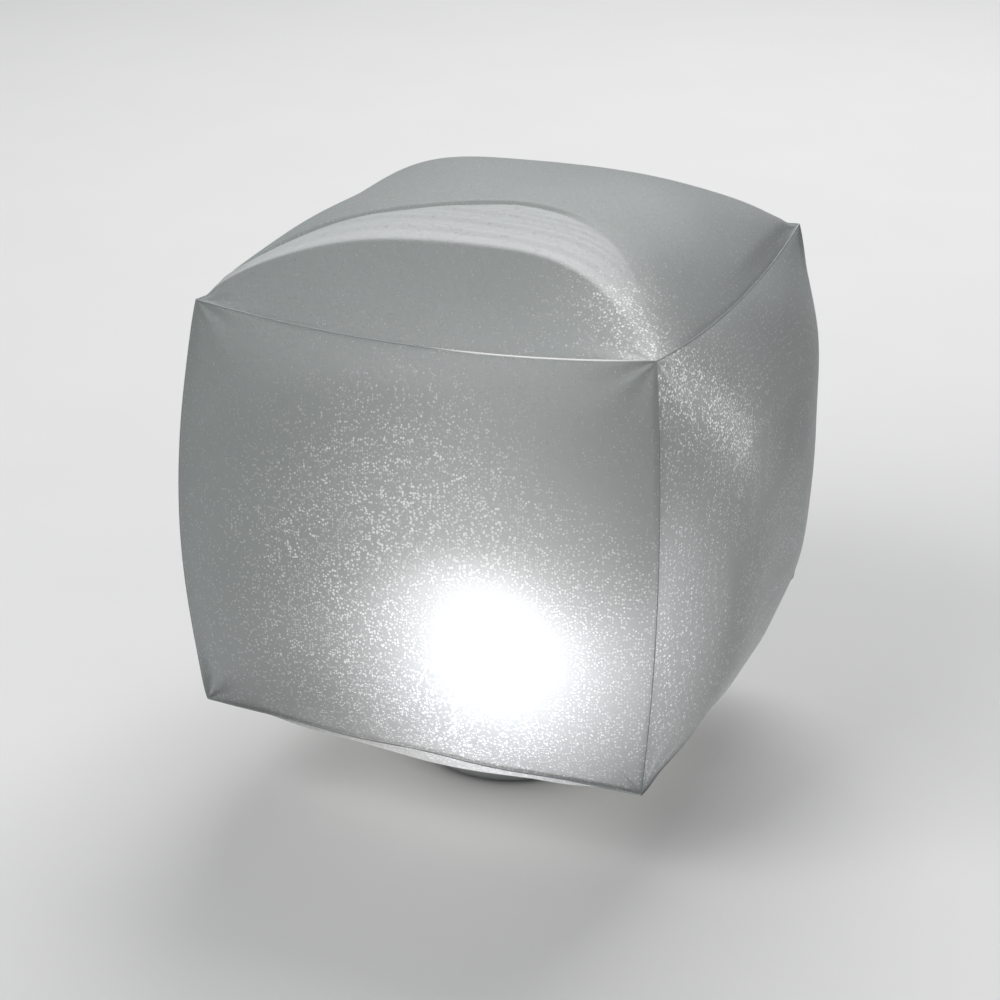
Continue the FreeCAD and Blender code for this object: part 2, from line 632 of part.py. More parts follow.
def revolved(edges):
    return Part.Face(Part.Wire(edges)).revolve(Vector(), Vector(0, 0, 1), 360)


def base_cover():
    """The screwed dish under the lamp: standing ring, sealed spigot, screw and button holes."""
    inner = COVER_RADIUS - COVER_WALL
    dish = line((0, COVER_HEIGHT), (0, STAND_HEIGHT), (STAND_INNER - STAND_HEIGHT, STAND_HEIGHT))
    dish += line((STAND_INNER - STAND_HEIGHT, STAND_HEIGHT), (STAND_INNER, 0), (STAND_OUTER, 0))
    dish += dish_bend(STAND_OUTER, 0, COVER_RADIUS, BEND_HEIGHT)
    dish += line((COVER_RADIUS, BEND_HEIGHT), (COVER_RADIUS, COVER_HEIGHT), (0, COVER_HEIGHT))
    above = COVER_HEIGHT + 1
    room = line((0, above), (0, FLOOR_TOP), (STAND_OUTER, FLOOR_TOP))
    room += dish_bend(STAND_OUTER, FLOOR_TOP, inner, BEND_HEIGHT + COVER_FLOOR / 2)
    room += line((inner, BEND_HEIGHT + COVER_FLOOR / 2), (inner, above), (0, above))
    root = FLOOR_TOP - COVER_FLOOR / 2
    spigot = tube(SPIGOT_INNER, SPIGOT_OUTER, root, SPIGOT_TOP)
    core = tube(0, SPIGOT_OUTER, 0, SPIGOT_TOP)
    posts = [tube(0, COVER_POST, root, SPIGOT_TOP, x, y).common(core) for x, y in screw_places()]
    cover = revolved(dish).cut(revolved(room)).fuse([spigot] + posts).removeSplitter()
    cuts = [seal_groove(), tube(0, BUTTON_RADIUS + RUN_GAP, -1, FLOOR_TOP + 1, BUTTON_X)]
    for x, y in screw_places():
        cuts.append(tube(0, SCREW_RADIUS + RUN_GAP, -1, SPIGOT_TOP + 1, x, y))
        cuts.append(tube(0, SCREW_HEAD_RADIUS + RUN_GAP, -1, STAND_HEIGHT + SCREW_HEAD, x, y))
    return cover.cut(cuts)


def seal_level():
    return COVER_HEIGHT + SPIGOT_HEIGHT / 2


def seal_groove():
    reach = SEAL_CORD + SEAL_GROOVE_PLAY / 2
    floor = BODY_INNER - 2 * SEAL_CORD
    return tube(floor, SPIGOT_OUTER + 1, seal_level() - reach, seal_level() + reach)


def cover_seal():
    """The round rubber cord in the spigot's groove, which closes the battery bay."""
    return Part.makeTorus(BODY_INNER - SEAL_CORD, SEAL_CORD, Vector(0, 0, seal_level()))


def screw(x, y, head_level, head, head_radius, shank_radius, reach, up=1):
    """A slotted screw whose head starts at head_level and whose shank runs up or down from it."""
    turn = FreeCAD.Placement(Vector(x, y, head_level), FreeCAD.Rotation(Vector(1, 0, 0), 90 - 90 * up))
    top = tube(0, head_radius, 0, head)
    slot = block(-head_radius, head_radius, -SCREW_SLOT / 2, SCREW_SLOT / 2, -1, head / 2)
    return placed(top.cut(slot).fuse(tube(0, shank_radius, head, head + reach)).removeSplitter(), turn)


def cover_screws():
    reach = BOSS_FOOT + SCREW_BITE - STAND_HEIGHT - SCREW_HEAD
    sizes = (SCREW_HEAD, SCREW_HEAD_RADIUS, SCREW_RADIUS, reach)
    return [screw(x, y, STAND_HEIGHT, *sizes) for x, y in screw_places()]


# ---- the battery bay --------------------------------------------------------------------------------------
def cell_places():
    """Each cell's x, and +1 or -1 for the end of Y that its plus nub points to."""
    middle = (CELL_COUNT - 1) / 2
    return [((i - middle) * CELL_PITCH, 1 if i % 2 == 0 else -1) for i in range(CELL_COUNT)]


def battery_cells():
    cells = []
    for x, way in cell_places():
        tip = Vector(x, way * BAY_HALF, CELL_LEVEL)
        nub = Part.makeCylinder(CELL_NUB_RADIUS, CELL_NUB, tip, Vector(0, -way, 0))
        shoulder = tip - Vector(0, way * CELL_NUB, 0)
        can = Part.makeCylinder(CELL_RADIUS, CELL_LENGTH, shoulder, Vector(0, -way, 0))
        cells.append(can.fuse(nub).removeSplitter())
    return cells


def battery_tray():
    """The cradle under the deck: a plate, ribs between the cells and a wall at each end."""
    half_x = CELL_PITCH * CELL_COUNT / 2 + RUN_GAP
    end = BAY_HALF + CONTACT_SHEET
    plate = block(-half_x, half_x, -end - TRAY_WALL, end + TRAY_WALL, TRAY_LEVEL, DECK_LEVEL)
    ribs = []
    for i in range(CELL_COUNT - 1):
        x = (i + 1 - CELL_COUNT / 2) * CELL_PITCH
        x0, x1 = x - RIB_THICKNESS / 2, x + RIB_THICKNESS / 2
        reach = BAY_HALF - RIB_INSET
        ribs.append(block(x0, x1, -reach, reach, TRAY_LEVEL - RIB_DROP, DECK_LEVEL))
    walls = [block(-half_x, half_x, min(s * end, s * (end + TRAY_WALL)), max(s * end, s * (end + TRAY_WALL)),
                   CELL_LEVEL - CONTACT_HEIGHT / 2, DECK_LEVEL) for s in (-1, 1)]
    tray = plate.fuse(ribs + walls).removeSplitter()
    reach = LEAD_RADIUS + RUN_GAP
    for side in (-1, 1):
        x = supply_lead_place(side)[0]
        y0, y1 = sorted((side * end, side * (end + TRAY_WALL + 1)))
        tray = tray.cut(block(x - reach, x + reach, y0, y1, FLOOR_TOP, DECK_LEVEL + 1))
    return tray.common(tube(0, BODY_INNER - RUN_GAP, 0, DECK_LEVEL))


def contact_plates():
    """Two bridges between neighbouring cells and the two end terminals, as bent sheet."""
    middle = (CELL_COUNT - 1) / 2
    low, high = CELL_LEVEL - CONTACT_HEIGHT / 2, CELL_LEVEL + CONTACT_HEIGHT / 2
    plates = []
    for side, first, last in ((1, 0, 1), (-1, 1, 2), (1, 2, 2), (-1, 0, 0)):
        x0 = (first - middle) * CELL_PITCH - CONTACT_WIDTH / 2
        x1 = (last - middle) * CELL_PITCH + CONTACT_WIDTH / 2
        y0, y1 = sorted((side * BAY_HALF, side * (BAY_HALF + CONTACT_SHEET)))
        plates.append(block(x0, x1, y0, y1, low, high))
    return plates


def contact_leaves():
    """A bent leaf behind each cell's flat end, with its peak on the cell."""
    wing = LEAF_SHEET * LEAF_HALF / CELL_SPRING
    leaves = []
    for x, way in cell_places():
        bend = []
        for reach, up in ((0, LEAF_HALF), (CELL_SPRING, 0), (0, -LEAF_HALF), (0, wing - LEAF_HALF),
                          (CELL_SPRING - LEAF_SHEET, 0), (0, LEAF_HALF - wing)):
            bend.append(Vector(x - LEAF_WIDTH / 2, way * (reach - BAY_HALF), CELL_LEVEL + up))
        strip = Part.Face(Part.makePolygon(bend + bend[:1]))
        leaves.append(strip.extrude(Vector(LEAF_WIDTH, 0, 0)))
    return leaves


def supply_lead(side):
    """A lead up the outside of a terminal, through the deck and to the board's underside."""
    x, y = supply_lead_place(side)
    return tube(0, LEAD_RADIUS, CELL_LEVEL, BOARD_LEVEL, x, y)


# ---- the light engine ------------------------------------------------------------------------------
def led_board():
    board = tube(0, BOARD_RADIUS, BOARD_LEVEL, BOARD_TOP)
    hole = BOARD_SCREW_RADIUS + SNUG
    return board.cut([tube(0, hole, BOARD_LEVEL - 1, BOARD_TOP + 1, x, y) for x, y in board_screw_places()])


def led_chips():
    chips = []
    top = BOARD_TOP + CHIP_HEIGHT
    for angle in around(CHIP_COUNT, 45.0):
        x, y = polar(CHIP_RING_RADIUS, angle)
        case = block(x - CHIP / 2, x + CHIP / 2, y - CHIP / 2, y + CHIP / 2, BOARD_TOP, top)
        chips.append(case.cut(tube(0, CHIP_WINDOW, top - CHIP_RECESS, top + 1, x, y)))
    return chips


def board_parts():
    """The driver chip and its resistors, under the board."""
    half_x, half_y = DRIVER_X / 2, DRIVER_Y / 2
    parts = [block(-half_x, half_x, -half_y, half_y, BOARD_LEVEL - DRIVER_HEIGHT, BOARD_LEVEL)]
    for step in (-1, 0, 1):
        x, y = step * RESISTOR_PITCH, half_y + RESISTOR_PITCH
        low = BOARD_LEVEL - RESISTOR_HEIGHT
        parts.append(block(x - RESISTOR / 2, x + RESISTOR / 2, y, y + RESISTOR_HEIGHT, low, BOARD_LEVEL))
    return parts


def board_screws():
    start = BOARD_TOP + BOARD_SCREW_HEAD
    sizes = (BOARD_SCREW_HEAD, BOARD_SCREW_HEAD_RADIUS, BOARD_SCREW_RADIUS, BOARD + STANDOFF)
    return [screw(x, y, start, *sizes, up=-1) for x, y in board_screw_places()]


def reflector():
    """A white cone round the chips that throws the light up."""
    top = BOARD_TOP + REFLECTOR_RISE
    return turned([
        (REFLECTOR_MOUTH, BOARD_TOP), (REFLECTOR_MOUTH + REFLECTOR_WALL * 2, BOARD_TOP),
        (REFLECTOR_OUTER, top - REFLECTOR_WALL), (REFLECTOR_OUTER, top),
    ])


def lens_dome():
    """The frosted dome, with a foot that the bezel clamps."""
    foot = tube(LENS_INNER, BODY_OUTER - LENS_EDGE, LENS_LEVEL, LENS_FOOT_TOP)
    dome = domed(LENS_OUTER, LENS_LEVEL, LENS_TOP, LENS_BEND)
    room = domed(LENS_INNER, LENS_LEVEL, LENS_TOP - LENS_WALL, LENS_BEND - LENS_WALL)
    return dome.fuse(foot).cut(room)


def lens_seal():
    return tube(BODY_INNER + LENS_EDGE, BODY_OUTER - LENS_EDGE, BODY_TOP, LENS_LEVEL)


def lens_bezel():
    """The ring that clamps the lens and keeps the lock ring on."""
    lip_inner = LENS_OUTER + RUN_GAP
    lip_top = LENS_FOOT_TOP + BEZEL_LIP
    skirt_bottom = SLEEVE_TOP + RUN_GAP
    return turned([
        (BODY_OUTER, skirt_bottom), (BEZEL_OUTER, skirt_bottom), (BEZEL_OUTER, LENS_FOOT_TOP),
        (BEZEL_OUTER - BEZEL_LIP, lip_top), (lip_inner, lip_top), (lip_inner, LENS_FOOT_TOP),
        (BODY_OUTER, LENS_FOOT_TOP),
    ])


# ---- the switch and its button ---------------------------------------------------------------------
def power_button():
    """Face, retaining collar and stem, which push the boot and the switch."""
    face = FLOOR_BOTTOM + BUTTON_INSET
    collar = FLOOR_TOP + SWITCH_PLAY
    pad = FLOOR_TOP + BUTTON_COLLAR + BOOT_RISE
    cap = tube(0, BUTTON_RADIUS, face, collar + BUTTON_COLLAR, BUTTON_X)
    grip = tube(0, BUTTON_RADIUS + BUTTON_COLLAR_WIDTH, collar, collar + BUTTON_COLLAR, BUTTON_X)
    stem = tube(0, BUTTON_STEM, collar, pad - SWITCH_PLAY, BUTTON_X)
    return cap.fuse([grip, stem]).removeSplitter()


def button_boot():
    """The rubber boot over the button, glued to the floor round its hole; its middle moves."""
    outer = BUTTON_RADIUS + BUTTON_COLLAR_WIDTH + RUN_GAP + BOOT_RIM
    inner = outer - BOOT_RIM
    pad_bottom = FLOOR_TOP + BUTTON_COLLAR + BOOT_RISE
    shoulder = FLOOR_TOP + BUTTON_COLLAR + BUTTON_TRAVEL + 2 * SWITCH_PLAY + RUN_GAP
    pad = BUTTON_STEM + BOOT_RIM
    top = pad_bottom + BOOT_PAD
    boot = turned([
        (0, pad_bottom), (pad, pad_bottom), (inner, shoulder), (inner, FLOOR_TOP), (outer, FLOOR_TOP),
        (outer, shoulder + BOOT_WALL), (pad + BOOT_WALL / 2, top), (0, top),
    ])
    boot.translate(Vector(BUTTON_X, 0, 0))
    return boot


def switch_plunger():
    return tube(0, PLUNGER_RADIUS, SWITCH_LEVEL - PLUNGER_REACH, SWITCH_LEVEL + SWITCH_HEIGHT / 2, BUTTON_X)


def switch_case():
    half = SWITCH_SIDE / 2
    case = block(BUTTON_X - half, BUTTON_X + half, -half, half, SWITCH_LEVEL, SWITCH_LEVEL + SWITCH_HEIGHT)
    bore_top = SWITCH_LEVEL + SWITCH_HEIGHT / 2 + BUTTON_TRAVEL + SWITCH_PLAY
    return case.cut(tube(0, PLUNGER_RADIUS + SWITCH_PLAY / 2, SWITCH_LEVEL - 1, bore_top, BUTTON_X))


def switch_board():
    half_x, half_y = SWITCH_BOARD_X / 2, SWITCH_BOARD_Y / 2
    low = SWITCH_BOARD_TOP - SWITCH_BOARD
    return block(BUTTON_X - half_x, BUTTON_X + half_x, -half_y, half_y, low, SWITCH_BOARD_TOP)


def switch_leads():
    return [tube(0, SWITCH_LEAD_RADIUS, SWITCH_BOARD_TOP, BOARD_LEVEL, x, y) for x, y in switch_lead_places()]


def main():
    os.makedirs("parts", exist_ok=True)
    place = valve_place()
    panels = {"left": (0, -1.0), "right": (0, 1.0), "front": (1, -1.0), "rear": (1, 1.0), "top": (2, 1.0)}
    for name, (axis, side) in panels.items():
        save(name + "_panel", film_between(axis, side, 0.0, FILM))
    bottom = film_between(2, -1.0, 0.0, FILM)
    lamp_hole = tube(0, SOCKET_OUTER, FILM_LEVEL - 1, FILM_LEVEL + 2)
    save("bottom_panel", bottom.cut([lamp_hole, valve_hole(place)]))
    save("weld_flanges", weld_flanges())
    save("socket_ring", socket_ring())
    save("lamp_pocket", lamp_pocket())
    save("valve_body", valve_body(place))
    save("valve_cap", valve_cap(place))
    save("valve_flap", valve_flap(place))
    save("lock_ring", lock_ring())
    save("lamp_body", lamp_body())
    save("base_cover", base_cover())
    save("cover_seal", cover_seal())
    save("cover_screws", cover_screws())
    save("battery_tray", battery_tray())
    save("battery_cells", battery_cells())
    save("contact_plates", contact_plates())
    save("contact_leaves", contact_leaves())
    save("red_lead", supply_lead(1))
    save("black_lead", supply_lead(-1))
    save("led_board", led_board())
    save("led_chips", led_chips())
    save("board_parts", board_parts())
    save("board_screws", board_screws())
    save("reflector", reflector())
    save("lens_dome", lens_dome())
    save("lens_seal", lens_seal())
    save("lens_bezel", lens_bezel())
    save("power_button", power_button())
    save("button_boot", button_boot())
    save("switch_plunger", switch_plunger())
    save("switch_case", switch_case())
    save("switch_board", switch_board())
    save("switch_leads", switch_leads())
    folds = {"cap fold": (STRAP_REACH, STRAP_AXIS), "flap fold": (FLAP_REACH, FLAP_LEVEL - HINGE_ROUND)}
    out = place.Rotation.multVec(Vector(0, 1, 0))
    for name, (x, z) in folds.items():
        at = place.multVec(Vector(x, 0, z))
        print(f"{name}: at {at.x:.4f} {at.y:.4f} {at.z:.4f}, axis {out.x:.6f} {out.y:.6f} {out.z:.6f}")


main()
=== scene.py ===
"""Inflatable cube light: frosted glitter film, blown up and welded at its seams, lit by a round
battery lamp that stands under it. Lengths are in millimetres until MM turns them to metres."""
import math

import bpy
import numpy as np
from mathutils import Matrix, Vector


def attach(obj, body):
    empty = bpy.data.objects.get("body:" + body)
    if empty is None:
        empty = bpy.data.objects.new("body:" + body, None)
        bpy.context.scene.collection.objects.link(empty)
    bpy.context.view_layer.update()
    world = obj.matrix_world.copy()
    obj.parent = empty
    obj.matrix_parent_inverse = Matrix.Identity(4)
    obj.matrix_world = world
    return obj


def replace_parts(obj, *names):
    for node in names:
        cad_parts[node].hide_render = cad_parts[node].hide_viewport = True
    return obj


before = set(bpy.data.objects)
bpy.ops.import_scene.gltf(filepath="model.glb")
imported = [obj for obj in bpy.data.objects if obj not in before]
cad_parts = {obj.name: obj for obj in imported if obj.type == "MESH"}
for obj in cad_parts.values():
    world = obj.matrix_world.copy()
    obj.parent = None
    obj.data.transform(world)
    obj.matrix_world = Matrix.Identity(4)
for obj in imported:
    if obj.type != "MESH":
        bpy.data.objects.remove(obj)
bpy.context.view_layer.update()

MM = 0.001

# ---- the cube's film, as it is blown up ------------------------------------------------------------
# each panel: the axis that it faces along (0 X, 1 Y, 2 Z) and which way
LEFT, RIGHT = (0, -1), (0, 1)
FRONT, REAR = (1, -1), (1, 1)
BOTTOM, TOP = (2, -1), (2, 1)
CORNER_HALF = 90.0          # from the axis to a corner, along X and along Y
CORNER_HEIGHT = 166.0       # between a bottom corner and the top corner above it
SIDE_BULGE = 17.0           # how far the middle of a side panel stands out past its seams
TOP_BULGE = 29.5
BOTTOM_BULGE = 25.0
BULGE_POWER = 4.0           # the higher it is, the flatter is a panel's middle
UPRIGHT_SEAM_BOW = 5.4      # how far the middle of a seam stands out past its corners
LEVEL_SEAM_BOW = 1.8
TOP_SEAM_DIP = 5.6          # the middle of a top seam lies this far under its corners
BOTTOM_SEAM_DROP = 1.6
FILM_LEVEL = 20.0           # the bottom film's flat middle, round the socket
FLAT_RADIUS = 58.0          # how far the bottom film lies flat
CENTRE_LEVEL = FILM_LEVEL + BOTTOM_BULGE + CORNER_HEIGHT / 2
CELLS = 200                 # mesh cells along each side of a panel
CROWDING = 0.45             # how much closer the cells lie near the seams, where the film puckers
VALVE_PLACE = (53.0, 53.0)
VALVE_HOLE = 4.9            # the radius of the bottom film's holes
SOCKET_HOLE = 37.0

# ---- how the film's slack shows --------------------------------------------------------------------
# each corner sits a little off its even place: right, back and up
CORNER_SHIFTS = {
    (-1, -1, 1): (3.0, 1.0, -0.7), (1, -1, 1): (0.6, 0.9, 1.5), (1, 1, 1): (-1.6, -1.9, -1.6),
    (-1, 1, 1): (0.0, 0.0, -1.8),
    (-1, -1, -1): (-0.7, -0.1, 0.5), (1, -1, -1): (-0.7, -0.6, -0.7), (1, 1, -1): (3.6, 3.6, 4.6),
}
SWELLINGS = (               # place, how far the film stands out there or is drawn in, and reach
    ((97.0, 95.0, -35.0), -3.8, 42.0), ((94.0, 62.0, -76.0), -2.0, 34.0), ((-100.0, -84.0, 0.0), 1.7, 60.0),
)
SOCKET_EASE = 24.0          # beyond its flat middle the bottom film leaves its even place over this
VALVE_REST = 13.0           # it keeps that place this near the valve
VALVE_EASE = 26.0           # and leaves it over this
CORNER_FILL = 38.0          # how much fuller than an even swell the top is near two of its corners
CORNER_FILL_POWER = 0.78
CORNER_FILL_EVEN = 0.3      # the share of it along the panel's middle lines, before it is eased
CORNER_FILL_LEAN = 0.75     # how much that grows towards these two corners and falls towards the others
CORNER_FILL_EDGE = 7.0      # it eases in from the seams over this
CREASE_NEAR = (18.0, -60.0)     # where the fold's front crease comes furthest back
CREASE_NEAR_REACH = (102.0, 66.0)
CREASE_NEAR_POWER = (2.2, 2.4)
CREASE_NEAR_DROP = 22.0
CREASE_FAR = (15.0, -22.0)      # the same of its back crease
CREASE_FAR_REACH = (101.0, 69.0)
CREASE_FAR_POWER = (1.4, 2.2)
CREASE_FAR_DROP = 49.0
FOLD_RISE = 2.6             # the slack stands up this high along its front crease
FOLD_FLATTENING = 3.5       # in front of the crease the film lies flatter by this much
FOLD_BACK = 7.0             # and behind it the rise runs out over this
FOLD_SEAM_REST = 9.0        # the fold fades this close to the left and right seams
FOLD_END = 18.0             # and where its front crease comes this near the front seam
FOLD_TUCK = 1.5             # depth and half width of the valley along the back crease
FOLD_TUCK_REACH = 1.5
FOLD_STREAK = 0.35          # low wrinkles along the band between the creases
FOLD_STREAK_LENGTH = 8.5
FOLD_STREAK_EASE = 5.0      # they have their full depth this far inside each crease
FOLD_STREAK_SWAY = 19.0     # they sway once in 2 pi times this
FOLD_OPEN = (46.0, 88.0)    # the fold opens out between these, towards its right end
FOLD_OPEN_REST = 0.25       # the share of its rise that is left there
TUCK_OPEN = (24.0, 56.0)    # its back crease opens between these
PALE_EASE = (2.5, 3.0)      # the band has its full painted paleness, a highlight that stands in for light from above and behind, this far inside its front and back crease
PALE_FALL = 0.35            # it loses this share
PALE_FALL_REACH = 25.0      # over this, from the front crease backwards
PALE_END = 16.0             # and it fades where that crease comes this near the front seam
WELD_TUCK = 0.25            # the film dips this much into its welds
WELD_REACH = 1.2
BEAD_RADIUS = 0.3
BEAD_RESOLUTION = 2         # how round a bead's section is
UPRIGHT_BEAD = 0.55         # the upright seams' beads are this much of the others
FIN_WIDTH = 4.0             # the weld allowance, turned inside
PUCKER_DEPTH = 0.4          # wrinkles that run out of each corner
PUCKER_REACH = 7.0
PUCKER_WAVES = 7.0
PUCKER_TURN = 2.1           # in radians, from one corner to the next
SLACK_DEPTH = 0.32          # broad soft unevenness
SLACK_LENGTH = 74.0
SLACK_SEAM_REST = SLACK_LENGTH / 4
SLACK_WAVES = (             # how a wave runs along X, Y and Z, its phase, and how another crosses it
    ((1.0, 0.0, 0.7), 1.1, (0.0, 0.8, -0.5)), ((-0.6, 0.0, 1.3), 2.0, (0.0, 1.0, 0.0)),
)
HEM_DEPTH = 0.35            # the bottom seam runs a little wavy
HEM_LENGTH = 52.0
HEM_RUN = (0.9, 1.3)        # how quickly its waves pass along X and along Y
HEM_REACH = 13.0
BOTTOM_LIFT = 4.0           # the bottom film is drawn up close round the lamp
BOTTOM_LIFT_START = 49.0
BOTTOM_LIFT_EASE = 10.0
BOTTOM_LIFT_PLACE = 69.0
BOTTOM_LIFT_REACH = 13.0
RIDGE_SHARES = (0.55, 0.45)     # a ridge's painted shine is a narrow band on a wide one
RIDGE_WIDE = 3.0
RIDGES = {                  # the panel's two axes, the line's ends, its reach, and 1 where it shines with a painted highlight
    TOP: (0, 1, (66.0, -66.0), (88.0, -88.0), 7.0, 1),
    RIGHT: (1, 2, (-90.0, 84.0), (-38.0, 38.0), 9.0, 1),
    FRONT: (0, 2, (66.0, 82.0), (78.0, 52.0), 13.0, -1),    # and -1 where its painted sparkle is thinned out
}


# ---- colour and node helpers -----------------------------------------------------------------------
def srgb(code):
    """An sRGB hex colour as linear RGBA."""
    shares = [int(code[i:i + 2], 16) / 255 for i in (1, 3, 5)]
    linear = [s / 12.92 if s <= 0.04045 else ((s + 0.055) / 1.055) ** 2.4 for s in shares]
    return (*linear, 1.0)


def add(tree, kind, values=None, links=None, **settings):
    """Add a node: its settings, the values of its inputs and what is linked into them."""
    node = tree.nodes.new("ShaderNode" + kind)
    for name, value in settings.items():
        setattr(node, name, value)
    for name, value in (values or {}).items():
        node.inputs[name].default_value = value
    for name, source in (links or {}).items():
        tree.links.new(source, node.inputs[name])
    return node


def new_material(name):
    """An empty material, with its output node and the object's own coordinates."""
    material = bpy.data.materials.new(name)
    material.use_nodes = True
    tree = material.node_tree
    tree.nodes.clear()
    out = add(tree, "OutputMaterial")
    place = add(tree, "TexCoord").outputs["Object"]
    return material, tree, out, place


def per_mm(size):
    """A texture scale whose features are size millimetres across."""
    return 1 / (size * MM)


# ---- the film's shape ------------------------------------------------------------------------------
def ease(share):
    """From 0 to 1 with a soft start and end."""
    share = np.clip(share, 0, 1)
    return share * share * (3 - 2 * share)


def hump(away, reach):
    """1 at no distance, fading over reach."""
    return np.exp(-(away / reach) ** 2)


def swell(a, b):
    """How far an evenly blown panel stands out: 0 at its seams, 1 in its middle."""
    return (1 - abs(a) ** BULGE_POWER) * (1 - abs(b) ** BULGE_POWER)


def level_panel(side, x, y):
    """The top (side 1) or bottom (side -1) panel, from the cube's centre."""
    seam = -TOP_SEAM_DIP if side > 0 else BOTTOM_SEAM_DROP
    bulge = TOP_BULGE if side > 0 else BOTTOM_BULGE
    rise = seam * (x * x * (1 - y * y) + y * y * (1 - x * x)) + bulge * swell(x, y)
    px = x * (CORNER_HALF + LEVEL_SEAM_BOW * x * x * (1 - y * y))
    py = y * (CORNER_HALF + LEVEL_SEAM_BOW * y * y * (1 - x * x))
    pz = side * (CORNER_HEIGHT / 2 + rise)
    if side < 0:
        level = FILM_LEVEL - CENTRE_LEVEL
        share = ease((np.hypot(px, py) - FLAT_RADIUS) / (CORNER_HALF - FLAT_RADIUS))
        pz = level + (pz - level) * share
    return np.stack([px, py, pz], -1)


def side_panel(axis, side, across, z):
    """An upright panel: axis 0 faces along X, axis 1 along Y."""
    seam = np.where(z > 0, -TOP_SEAM_DIP, BOTTOM_SEAM_DROP)
    bow = UPRIGHT_SEAM_BOW * across * across * (1 - z * z)
    level_bow = LEVEL_SEAM_BOW * z * z * (1 - across * across)
    out = side * (CORNER_HALF + bow + level_bow + SIDE_BULGE * swell(across, z))
    along = across * (CORNER_HALF + bow)
    up = z * (CORNER_HEIGHT / 2 + seam * z * z * (1 - across * across))
    return np.stack([out, along, up] if axis == 0 else [along, out, up], -1)


def crease(x, peak, reach, power, drop):
    """How far back a crease of the fold lies at each x."""
    step = x - peak[0]
    left = (np.clip(-step, 0, None) / reach[0]) ** power[0]
    right = (np.clip(step, 0, None) / reach[1]) ** power[1]
    return peak[1] - drop * (left + right)


def opened(x, span):
    """1 to the left of a span, falling to 0 at its right end."""
    return ease((span[1] - x) / (span[1] - span[0]))


def fold(points):
    """How far the top panel's slack stands out along its two creases, and the painted highlight that makes
    the band between them paler.
    """
    x, y = points[..., 0], points[..., 1]
    near = crease(x, CREASE_NEAR, CREASE_NEAR_REACH, CREASE_NEAR_POWER, CREASE_NEAR_DROP)
    far = crease(x, CREASE_FAR, CREASE_FAR_REACH, CREASE_FAR_POWER, CREASE_FAR_DROP)
    seam = -CORNER_HALF - LEVEL_SEAM_BOW * (1 - (x / CORNER_HALF) ** 2)
    gap = np.clip(near - seam, 1, None)
    ahead, behind = y - near, y - far
    share = np.clip((y - seam) / gap, 0, 1)
    front = FOLD_RISE * share - FOLD_FLATTENING * np.sin(math.pi * share)
    back = FOLD_RISE * np.exp(-np.clip(ahead, 0, None) / FOLD_BACK)
    open_end = opened(x, FOLD_OPEN)
    rise = np.where(ahead < 0, front, back) * (FOLD_OPEN_REST + (1 - FOLD_OPEN_REST) * open_end)
    band = ease(ahead / FOLD_STREAK_EASE) * ease(-behind / FOLD_STREAK_EASE)
    waves = np.sin(2 * math.pi * ahead / FOLD_STREAK_LENGTH + np.sin(x / FOLD_STREAK_SWAY))
    tuck = FOLD_TUCK * hump(behind, FOLD_TUCK_REACH) * opened(x, TUCK_OPEN)
    stands_out = (rise + FOLD_STREAK * band * waves * open_end - tuck) * ease(gap / FOLD_END)
    pale = ease(ahead / PALE_EASE[0]) * ease(-behind / PALE_EASE[1])
    pale *= (1 - PALE_FALL * ease(ahead / PALE_FALL_REACH)) * ease(gap / PALE_END)
    return stands_out, pale * open_end


def corner_fill(s, t, edge):
    """How much further than an even swell the top panel stands out, mostly near two of its corners."""
    even_swell = swell(s, t)
    fuller = CORNER_FILL * (even_swell ** CORNER_FILL_POWER - even_swell)
    return fuller * ease(CORNER_FILL_EVEN + CORNER_FILL_LEAN * s * t) * ease(edge / CORNER_FILL_EDGE)


def ridge(a, b, start, end, reach):
    """1 along a line of a panel, fading to each side and past its ends."""
    run_a, run_b = end[0] - start[0], end[1] - start[1]
    length = math.hypot(run_a, run_b)
    along = ((a - start[0]) * run_a + (b - start[1]) * run_b) / length
    beside = ((b - start[1]) * run_a - (a - start[0]) * run_b) / length
    away = np.hypot(beside, along - np.clip(along, 0, length))
    return RIDGE_SHARES[0] * hump(away, reach) + RIDGE_SHARES[1] * hump(away, RIDGE_WIDE * reach)


def slack(points):
    """Broad, soft unevenness."""
    turns = points * 2 * math.pi / SLACK_LENGTH
    waves = [np.sin(turns @ run + phase) * np.cos(turns @ crossing) for run, phase, crossing in SLACK_WAVES]
    return SLACK_DEPTH * sum(waves)


def hem(points):
    """The bottom seams run wavy, where the film is gathered into them."""
    along = points[..., 0] * HEM_RUN[0] + points[..., 1] * HEM_RUN[1]
    height = points[..., 2] + CORNER_HEIGHT / 2
    return HEM_DEPTH * np.sin(2 * math.pi * along / HEM_LENGTH) * hump(height, HEM_REACH)


def puckers(points):
    """Short wrinkles that run out of each corner, where the film is gathered."""
    total = np.zeros(points.shape[:-1])
    for i in range(8):
        sign = np.array([1 if i & 1 else -1, 1 if i & 2 else -1, 1 if i & 4 else -1])
        corner = sign * np.array([CORNER_HALF, CORNER_HALF, CORNER_HEIGHT / 2])
        diagonal = sign / math.sqrt(3)
        across = np.cross(diagonal, [0, 0, 1.0])
        across /= np.linalg.norm(across)
        upward = np.cross(diagonal, across)
        away = points - corner
        reach = np.linalg.norm(away, axis=-1) / PUCKER_REACH
        angle = np.arctan2(away @ upward, away @ across)
        waves = np.sin(PUCKER_WAVES * angle + PUCKER_TURN * i)
        total += PUCKER_DEPTH * reach * np.exp(1 - reach) * waves
    return total


def corner_shift(unit):
    """The corners' own shifts, blended over the film."""
    total = np.zeros(unit.shape)
    for corner, shift in CORNER_SHIFTS.items():
        weight = np.prod((1 + unit * np.array(corner)) / 2, axis=-1)
        total += weight[..., None] * np.array(shift)
    return total


